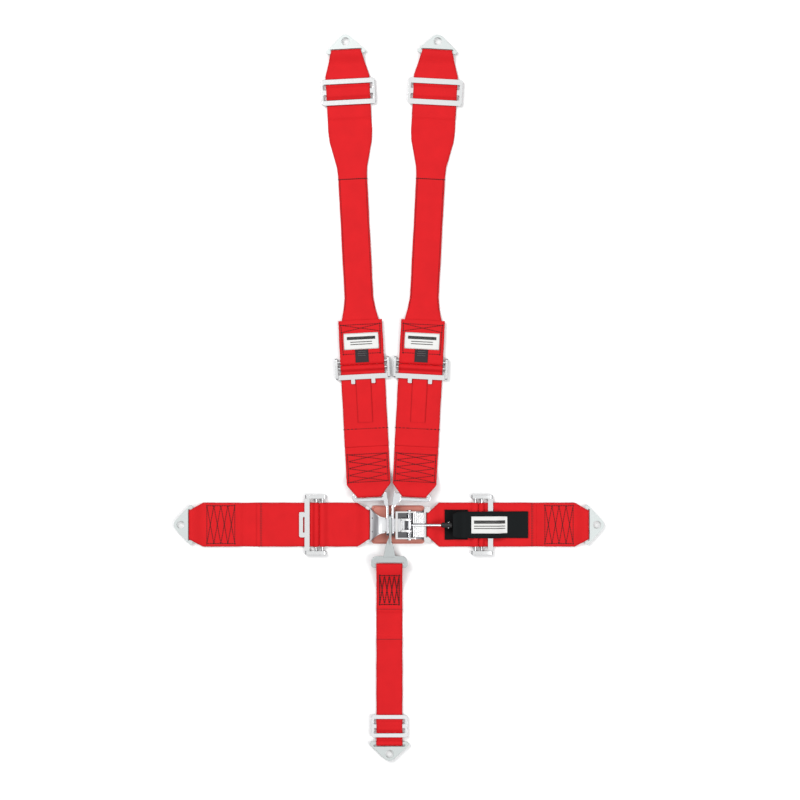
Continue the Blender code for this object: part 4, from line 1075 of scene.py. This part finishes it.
# %% Labels and tags
LABEL_T = 0.0006
LABEL_HALF = 0.0145
lift = BLACK_T / 2 + GAP + LABEL_T / 2
label_path = [(RIGHT_EDGE - 0.0369, over_z + lift)]
label_path += ease((RIGHT_EDGE + 0.003, over_z + lift), (RIGHT_EDGE + 0.024, far_z + lift), 10)
strap(
    "lever_strap_label_cloth", label_path, [(0, LABEL_HALF), (1, LABEL_HALF)], LAP_RIGHT, "lever_pull",
    "lever_strap_label", LABEL_CLOTH, [(0, LABEL_T), (1, LABEL_T)],
)
TAG_TOP = GAP + WEB_T * 4 + GAP * 3
SHOULDER_LABEL_HALF = 0.030
SHOULDER_LABEL_ENDS = (0.2515, 0.2790)
TAG_HALF = 0.0115
TAG_FALL_FROM = 0.0140  # past the fixed bar, where the tag leaves its own level
TAG_FALL_TO = 0.0010
crest = ADJUSTER_Z + ROLL_MID + WEB_T / 2 + GAP * 2 + LABEL_T / 2
tag_z = TAG_TOP + LABEL_T / 2
for side in ("left", "right"):
    place = SHOULDER_PLACES[side]
    body = f"shoulder_{side}_belt"
    strap(
        f"shoulder_{side}_label_cloth", [(v, tag_z) for v in SHOULDER_LABEL_ENDS],
        [(0, SHOULDER_LABEL_HALF), (1, SHOULDER_LABEL_HALF)], place, body, f"shoulder_{side}_label",
        LABEL_CLOTH, [(0, LABEL_T), (1, LABEL_T)],
    )
    tag_path = [(0.2509, tag_z)]
    tag_path += ease((FIXED + TAG_FALL_FROM, tag_z), (FIXED + TAG_FALL_TO, crest), 8)
    tag_path += [(FIXED - 0.0015, crest)]
    strap(
        f"shoulder_{side}_care_tag_cloth", tag_path, [(0, TAG_HALF), (1, TAG_HALF)], place, body,
        f"shoulder_{side}_care_tag", CARE_CLOTH, [(0, LABEL_T), (1, LABEL_T)],
    )
tag_lines = []
for row, wide in enumerate((0.0055, 0.0070, 0.0062)):
    v = 0.2475 - row * 0.0034
    fall = min(1.0, max(0.0, (FIXED + TAG_FALL_FROM - v) / (TAG_FALL_FROM - TAG_FALL_TO)))
    z = tag_z + (crest - tag_z) * (1 - math.cos(math.pi * fall)) / 2 + 0.0004
    tag_lines.append([(-wide, v, z), (wide, v, z)])
print("labels made")

# %% [markdown]
# ## Stitching
# The straps are sewn with dark thread in boxes of crossing zigzags. Every stitch is a short
# bead of thread, and there are thousands, so Geometry Nodes lays them: a seam is a line,
# resampled at the stitch length, with a bead on each point turned along the line. The result
# is realised to a plain mesh, one for each group of seams.


# %% Stitch tree
def build_stitch_tree():
    tree = bpy.data.node_groups.new("Stitch along seams", "GeometryNodeTree")
    tree.interface.new_socket("Geometry", in_out="INPUT", socket_type="NodeSocketGeometry")
    for label, kind, value in (
        ("Stitch length", "NodeSocketFloat", 0.0034),
        ("Thread radius", "NodeSocketFloat", 0.00036),
        ("Thread", "NodeSocketMaterial", None),
    ):
        socket = tree.interface.new_socket(label, in_out="INPUT", socket_type=kind)
        if value is not None:
            socket.default_value = value
    tree.interface.new_socket("Geometry", in_out="OUTPUT", socket_type="NodeSocketGeometry")
    source = tree.nodes.new("NodeGroupInput")
    sink = tree.nodes.new("NodeGroupOutput")
    to_curve = tree.nodes.new("GeometryNodeMeshToCurve")
    resample = tree.nodes.new("GeometryNodeResampleCurve")
    resample.mode = "LENGTH"
    tangent = tree.nodes.new("GeometryNodeInputTangent")
    align = tree.nodes.new("FunctionNodeAlignEulerToVector")
    align.axis = "Z"
    bead = tree.nodes.new("GeometryNodeMeshCylinder")
    bead.inputs["Vertices"].default_value = 6
    length = add_node(tree, "ShaderNodeMath", operation="MULTIPLY")
    length.inputs[1].default_value = 0.74
    place = tree.nodes.new("GeometryNodeInstanceOnPoints")
    realise = tree.nodes.new("GeometryNodeRealizeInstances")
    colour = tree.nodes.new("GeometryNodeSetMaterial")
    link = tree.links.new
    link(source.outputs["Geometry"], to_curve.inputs[0])
    link(to_curve.outputs[0], resample.inputs["Curve"])
    link(source.outputs["Stitch length"], resample.inputs["Length"])
    link(tangent.outputs[0], align.inputs["Vector"])
    link(source.outputs["Stitch length"], length.inputs[0])
    link(length.outputs[0], bead.inputs["Depth"])
    link(source.outputs["Thread radius"], bead.inputs["Radius"])
    link(resample.outputs[0], place.inputs["Points"])
    link(bead.outputs["Mesh"], place.inputs["Instance"])
    link(align.outputs[0], place.inputs["Rotation"])
    link(place.outputs[0], realise.inputs[0])
    link(realise.outputs[0], colour.inputs["Geometry"])
    link(source.outputs["Thread"], colour.inputs["Material"])
    link(colour.outputs[0], sink.inputs[0])
    return tree


STITCH_TREE = build_stitch_tree()


def sew(name, seams, place, body, thread, stitch=0.0040, radius=0.00056):
    """Beads of thread along seams, each a list of (u, v, z) points on the strap."""
    vertices, edges = [], []
    for seam in seams:
        base = len(vertices)
        vertices += [place @ Vector(point) for point in seam]
        edges += [(base + k, base + k + 1) for k in range(len(seam) - 1)]
    mesh = bpy.data.meshes.new("seams")
    mesh.from_pydata(vertices, edges, [])
    holder = bpy.data.objects.new("seams", mesh)
    bpy.context.scene.collection.objects.link(holder)
    modifier = holder.modifiers.new("Stitch", "NODES")
    modifier.node_group = STITCH_TREE
    sockets = {s.name: s.identifier for s in STITCH_TREE.interface.items_tree if s.in_out == "INPUT"}
    modifier[sockets["Stitch length"]] = stitch
    modifier[sockets["Thread radius"]] = radius
    modifier[sockets["Thread"]] = thread
    graph = bpy.context.evaluated_depsgraph_get()
    result = bpy.data.meshes.new_from_object(holder.evaluated_get(graph))
    bpy.data.objects.remove(holder, do_unlink=True)
    result.shade_smooth()
    result.set_sharp_from_angle(angle=math.radians(70))
    return make_piece(name, result, None, body)


def box_stitch(u, v0, v1, z, waves, across_first=True):
    """A rectangle of stitches filled with two zigzags that cross."""
    rim = [(-u, v0, z), (u, v0, z), (u, v1, z), (-u, v1, z), (-u, v0, z)]
    seams = [rim]
    for flip in (-1, 1):
        zigzag = []
        for k in range(waves + 1):
            share = k / waves
            side = flip if k % 2 else -flip
            if across_first:
                zigzag.append((side * u, v0 + (v1 - v0) * share, z + 0.0001))
            else:
                v = v0 if side < 0 else v1
                zigzag.append((-u + 2 * u * share, v, z + 0.0001))
        seams.append(zigzag)
    return seams


def hem(u, v, z):
    return [(-u, v, z), (u, v, z)]


THREAD_LIFT = 0.00016  # a thread's middle above its cloth
ON_SECOND = SECOND_Z + WEB_T / 2 + THREAD_LIFT
UNDER_PULL = SECOND_Z + WEB_T / 2 - 0.00035  # sunk in the cloth, to pass under the pull strap
LAP_THREAD_R = 0.00078
LAP_BOXES = (("left", LAP_LEFT, 0.2640, 0.3115), ("right", LAP_RIGHT, 0.2625, 0.3105))
for side, place, v0, v1 in LAP_BOXES:
    boxes = box_stitch(0.0322, v0, v1, UNDER_PULL, 4)
    sew(f"lap_{side}_box_stitch", boxes, place, f"lap_{side}_belt", THREAD, 0.0040, LAP_THREAD_R)
    tail = LAP_TAILS[side]
    hems = [hem(0.0350, tail - back, UNDER_PULL) for back in (0.0060, 0.0082)]
    fold = sew(f"lap_{side}_hem_stitch", hems, place, None, RED_THREAD, 0.0040, LAP_THREAD_R)
    slide_with_adjuster(fold)
print("lap boxes sewn")

# %% [markdown]
# ## Shoulder and crotch stitching
# The same seam maker sews the shoulder and crotch straps. Near the links the upper layer falls
# from the bar to the strap, so those seams are cut into short steps and set on its height. The
# label stripes are seams as well, because a woven mark stands a little proud of its cloth.


# %% Shoulder and crotch stitching
ON_SLEEVE = GAP + WEB_T * 2 + THREAD_LIFT
PALE_THREAD = plated_material("Pale thread", (0.30, 0.29, 0.30), (0.20, 0.19, 0.20), 0.8, 0.1, 2000, 0.0)
ON_LABEL_END = FIRST_Z + WEB_T * 3.5 + GAP * 2 + THREAD_LIFT
TAIL_SEAM = 0.1165  # where the lower webbing's tail is hemmed
LABEL_RIM = [(0.0310, 0.2440), (0.0320, 0.2500), (0.0330, 0.2935)]
LABEL_CROSS = (0.0325, 0.2812)  # where the crossed seams on the label's end finish
BORDER_ENDS = (0.2523, 0.2782)
CROTCH_BOX = (0.0166, 0.0205, 0.0705)


def on_rise(v, bar_v=LOOP_OUT):
    """Height of the upper layer's face where it comes down from the link."""
    share = min(1.0, max(0.0, (v - bar_v) / RISE_RUN))
    top = TONGUE_Z + LOOP_MID
    return top + (SECOND_Z - top) * (1 - math.cos(math.pi * share)) / 2 + WEB_T / 2 + THREAD_LIFT


def on_surface(seams):
    """The seams cut into short steps, each point set on the falling upper layer."""
    laid = []
    for seam in seams:
        line = [seam[0]]
        for start, end in zip(seam, seam[1:]):
            parts = max(1, math.ceil(math.dist(start, end) / 0.004))
            for k in range(1, parts + 1):
                line.append(tuple(a + (b - a) * k / parts for a, b in zip(start, end)))
        laid.append([(u, v, on_rise(v)) for u, v, _ in line])
    return laid


for side in ("left", "right"):
    place = SHOULDER_PLACES[side]
    belt = f"shoulder_{side}_belt"
    strap_body = f"shoulder_{side}_strap"
    lower_box = on_surface(box_stitch(0.0335, 0.0265, 0.0735, 0, 4))
    sew(f"shoulder_{side}_link_stitch", lower_box, place, strap_body, THREAD)
    ends = [[(s * u, TAIL_SEAM, ON_SECOND) for u in (0.0365, 0.0170)] for s in (-1, 1)]
    fold = sew(f"shoulder_{side}_tail_stitch", ends, place, None, BLACK_THREAD, 0.0050, 0.00062)
    slide_on_strap(fold)
    middle_hem = [hem(0.0160, TAIL_SEAM, ON_SECOND)]
    fold = sew(f"shoulder_{side}_tail_middle_stitch", middle_hem, place, None, RED_THREAD)
    slide_on_strap(fold)
    top = [hem(*LABEL_RIM[0], ON_LABEL_END)]
    top += [[(sign * u, v, ON_LABEL_END) for u, v in LABEL_RIM] for sign in (-1, 1)]
    top += [hem(*LABEL_RIM[-1], ON_LABEL_END)]
    (far_u, far_v), (near_u, near_v) = LABEL_RIM[-1], LABEL_CROSS
    for sign in (-1, 1):
        top.append([(sign * far_u, far_v, ON_LABEL_END), (-sign * near_u, near_v, ON_LABEL_END)])
    sew(f"shoulder_{side}_label_box_stitch", top, place, belt, THREAD)
    edges = []
    for sign in (-1, 1):
        line = [(0.0250, LABEL_TOP + 0.020), (0.0218, SLEEVE[0]), (0.0218, SLEEVE[1] - 0.003)]
        edges.append([(sign * u, v, ON_SLEEVE) for u, v in line])
    sew(f"shoulder_{side}_sleeve_stitch", edges, place, belt, THREAD, 0.0042, 0.00030)
    cross = [hem(SLEEVE_HALF - 0.0008, SLEEVE[1] - 0.001, ON_SLEEVE)]
    sew(f"shoulder_{side}_sleeve_end_stitch", cross, place, belt, BLACK_THREAD, 0.0034, 0.00075)
    on_label = TAG_TOP + LABEL_T + 0.0001
    border = [hem(0.0290, v, on_label) for v in BORDER_ENDS]
    border += [[(u, v, on_label) for v in BORDER_ENDS] for u in (-0.0292, 0.0292)]
    sew(f"shoulder_{side}_label_border", border, place, belt, BLACK_THREAD, 0.0020, 0.00022)
    rows = [hem(0.0235, v, TAG_TOP + LABEL_T + 0.00012) for v in (0.2725, 0.2712, 0.2699, 0.2686)]
    rows += [hem(0.0180, v, TAG_TOP + LABEL_T + 0.00012) for v in (0.2640, 0.2600)]
    sew(f"shoulder_{side}_label_stripes", rows, place, belt, BLACK_THREAD, 0.0012, 0.00070)
    sew(f"shoulder_{side}_tag_stripes", tag_lines, place, belt, PALE_THREAD, 0.0014, 0.00025)
crotch_box = box_stitch(*CROTCH_BOX, 0, 4, across_first=False)
sew("crotch_box_stitch", on_surface(crotch_box), CROTCH, "crotch_strap", THREAD, 0.0040, 0.00085)
# Painted shadow: two rows of dark red thread lie where the doubled layers step down, standing for the shade
# along those steps.
crotch_step_shadows = [hem(0.0210, v, UNDER_PULL) for v in (CROTCH_SEWN - 0.0008, CROTCH_RETURN + 0.0008)]
sew("crotch_step_shadow_thread", crotch_step_shadows, CROTCH, "crotch_strap", RED_THREAD, 0.0026, 0.00075)
label_z = over_z + lift + LABEL_T / 2 + 0.0001
rows = []
for u in (0.0070, 0.0056, 0.0042, 0.0028, -0.0020, -0.0060):
    row = [(-u, RIGHT_EDGE - 0.0320, label_z)]
    row += [(-u, v, z + LABEL_T / 2 + 0.0001) for v, z in label_path[1:-2]]
    rows.append(row)
sew("lever_strap_label_stripes", rows, LAP_RIGHT, "lever_pull", BLACK_THREAD, 0.0012, 0.00070)
print("shoulder and crotch seams sewn")

# %% [markdown]
# ## The leather pad
# Under the latch lies a thin leather pad with rounded corners. It is crowned in the middle and
# pressed thin at its edge, with a row of stitches just inside the rim. A grid shaped by a
# smooth falloff gives that form exactly, with no simulation, because the pad lies flat under
# the metal and has no room to swell.


# %% Pad
def rounded_reach(angle, half_x, half_y, corner):
    """Distance from the middle to a rounded rectangle's rim in a direction."""
    dx, dy = math.cos(angle), math.sin(angle)
    reach = min(half_x / max(abs(dx), 1e-9), half_y / max(abs(dy), 1e-9))
    px, py = abs(dx) * reach, abs(dy) * reach
    cx, cy = half_x - corner, half_y - corner
    if px > cx and py > cy:
        along = abs(dx) * cx + abs(dy) * cy
        reach = along + math.sqrt(max(0.0, corner * corner - (cx * cx + cy * cy - along * along)))
    return reach


PAD_CORNER = 0.005
PAD_FLAT = 0.86  # the crown starts to fall at this share of the way out
PAD_SEAM = 0.925


def leather_pad():
    low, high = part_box("buckle_pad")
    middle = Vector(((low[0] + high[0]) / 2, (low[1] + high[1]) / 2, 0))
    half_x, half_y = (high[0] - low[0]) / 2, (high[1] - low[1]) / 2
    thick = high[2] - low[2]
    sides = 96
    levels = []
    for share in (0.3, 0.6, 0.8, 0.9, 0.95, 0.98, 1.0):
        fall = 1 - max(0.0, (share - PAD_FLAT) / (1 - PAD_FLAT)) ** 2.2
        levels.append((share, thick * (0.40 + 0.60 * fall)))
    levels += [(inset, thick * drop) for drop, inset in ((0.22, 1.0), (0.06, 0.992), (0.0, 0.975))]
    vertices = [middle + Vector((0, 0, thick))]
    for share, z in levels:
        for k in range(sides):
            angle = math.tau * k / sides
            reach = rounded_reach(angle, half_x, half_y, PAD_CORNER) * share
            vertices.append(middle + Vector((math.cos(angle) * reach, math.sin(angle) * reach, z)))
    faces = [(0, 1 + k, 1 + (k + 1) % sides) for k in range(sides)]
    rows = (len(vertices) - 1) // sides
    for row in range(rows - 1):
        for k in range(sides):
            a, b = 1 + row * sides + k, 1 + row * sides + (k + 1) % sides
            faces.append((a, a + sides, b + sides, b))
    faces.append(tuple(reversed(range(len(vertices) - sides, len(vertices)))))
    mesh = bpy.data.meshes.new("pad")
    mesh.from_pydata(vertices, [], faces)
    shell = bmesh.new()
    shell.from_mesh(mesh)
    bmesh.ops.recalc_face_normals(shell, faces=shell.faces)
    shell.to_mesh(mesh)
    shell.free()
    mesh.shade_smooth()
    mesh.set_sharp_from_angle(angle=math.radians(50))
    piece = make_piece("buckle_pad_leather", mesh, LEATHER, "buckle")
    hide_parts("buckle_pad")
    seam = []
    for k in range(sides + 1):
        angle = math.tau * k / sides
        reach = rounded_reach(angle, half_x, half_y, PAD_CORNER) * PAD_SEAM
        seam.append((middle.x + math.cos(angle) * reach, middle.y + math.sin(angle) * reach, thick * 0.93))
    sew("buckle_pad_stitch", [seam], Matrix.Identity(4), "buckle", RED_THREAD, 0.0030, 0.00022)
    return piece


leather_pad()
print("pad made")

# %% [markdown]
# ## Studio
# The harness is seen from straight above on a white sweep, lit by two big soft boxes and a
# pale sky. Chrome shows only what it reflects, so the sky darkens towards its lower half to draw
# the edges of the bright metal.

# %% Floor, lights and camera
WHITE_FLOOR = bpy.data.materials.new("White floor")
WHITE_FLOOR.use_nodes = True
floor_shader = WHITE_FLOOR.node_tree.nodes["Principled BSDF"]
floor_shader.inputs["Base Color"].default_value = (0.95, 0.95, 0.95, 1)
floor_shader.inputs["Roughness"].default_value = 0.9
floor_mesh = bpy.data.meshes.new("floor")
reach = 6.0
floor_corners = [(-reach, -reach, 0), (reach, -reach, 0), (reach, reach, 0), (-reach, reach, 0)]
floor_mesh.from_pydata(floor_corners, [], [(0, 1, 2, 3)])
floor_mesh.materials.append(WHITE_FLOOR)
floor = bpy.data.objects.new("floor", floor_mesh)
bpy.context.scene.collection.objects.link(floor)

VIEW_X, VIEW_Y = 0.0165, 0.2117
VIEW_ACROSS = 1.36


def area_light(name, place, target, size, power):
    data = bpy.data.lights.new(name, "AREA")
    data.shape = "RECTANGLE"
    data.size, data.size_y = size
    data.energy = power
    lamp = bpy.data.objects.new(name, data)
    lamp.location = place
    lamp.rotation_euler = (Vector(target) - Vector(place)).to_track_quat("-Z", "Y").to_euler()
    bpy.context.scene.collection.objects.link(lamp)
    return lamp


area_light("Key box", (-1.6, 1.7, 2.4), (0, 0.2, 0), (1.6, 1.6), 60)
area_light("Fill box", (1.9, -0.9, 2.2), (0, 0.2, 0), (1.4, 1.8), 34)
world = bpy.data.worlds.new("Pale sky")
bpy.context.scene.world = world
world.use_nodes = True
sky = world.node_tree
where = sky.nodes.new("ShaderNodeTexCoord")
height_of = sky.nodes.new("ShaderNodeSeparateXYZ")
ramp = sky.nodes.new("ShaderNodeValToRGB")
ramp.color_ramp.elements[0].position = 0.22
ramp.color_ramp.elements[0].color = (0.02, 0.022, 0.026, 1)
ramp.color_ramp.elements[1].position = 0.74
ramp.color_ramp.elements[1].color = (1, 1, 1, 1)
middle = ramp.color_ramp.elements.new(0.46)
middle.color = (0.40, 0.41, 0.44, 1)
sky.links.new(where.outputs["Generated"], height_of.inputs[0])
sky.links.new(height_of.outputs[2], ramp.inputs[0])
sky.links.new(ramp.outputs[0], sky.nodes["Background"].inputs["Color"])
sky.nodes["Background"].inputs["Strength"].default_value = 0.86

camera_data = bpy.data.cameras.new("Camera")
camera_data.lens = 85
camera_data.clip_end = 50
camera = bpy.data.objects.new("Camera", camera_data)
height = VIEW_ACROSS / 2 / math.tan(camera_data.angle / 2)
camera.location = (VIEW_X, VIEW_Y, height)
bpy.context.scene.collection.objects.link(camera)
bpy.context.scene.camera = camera
bpy.context.scene.view_settings.view_transform = "Standard"
print("camera", round(height, 3), "m up")
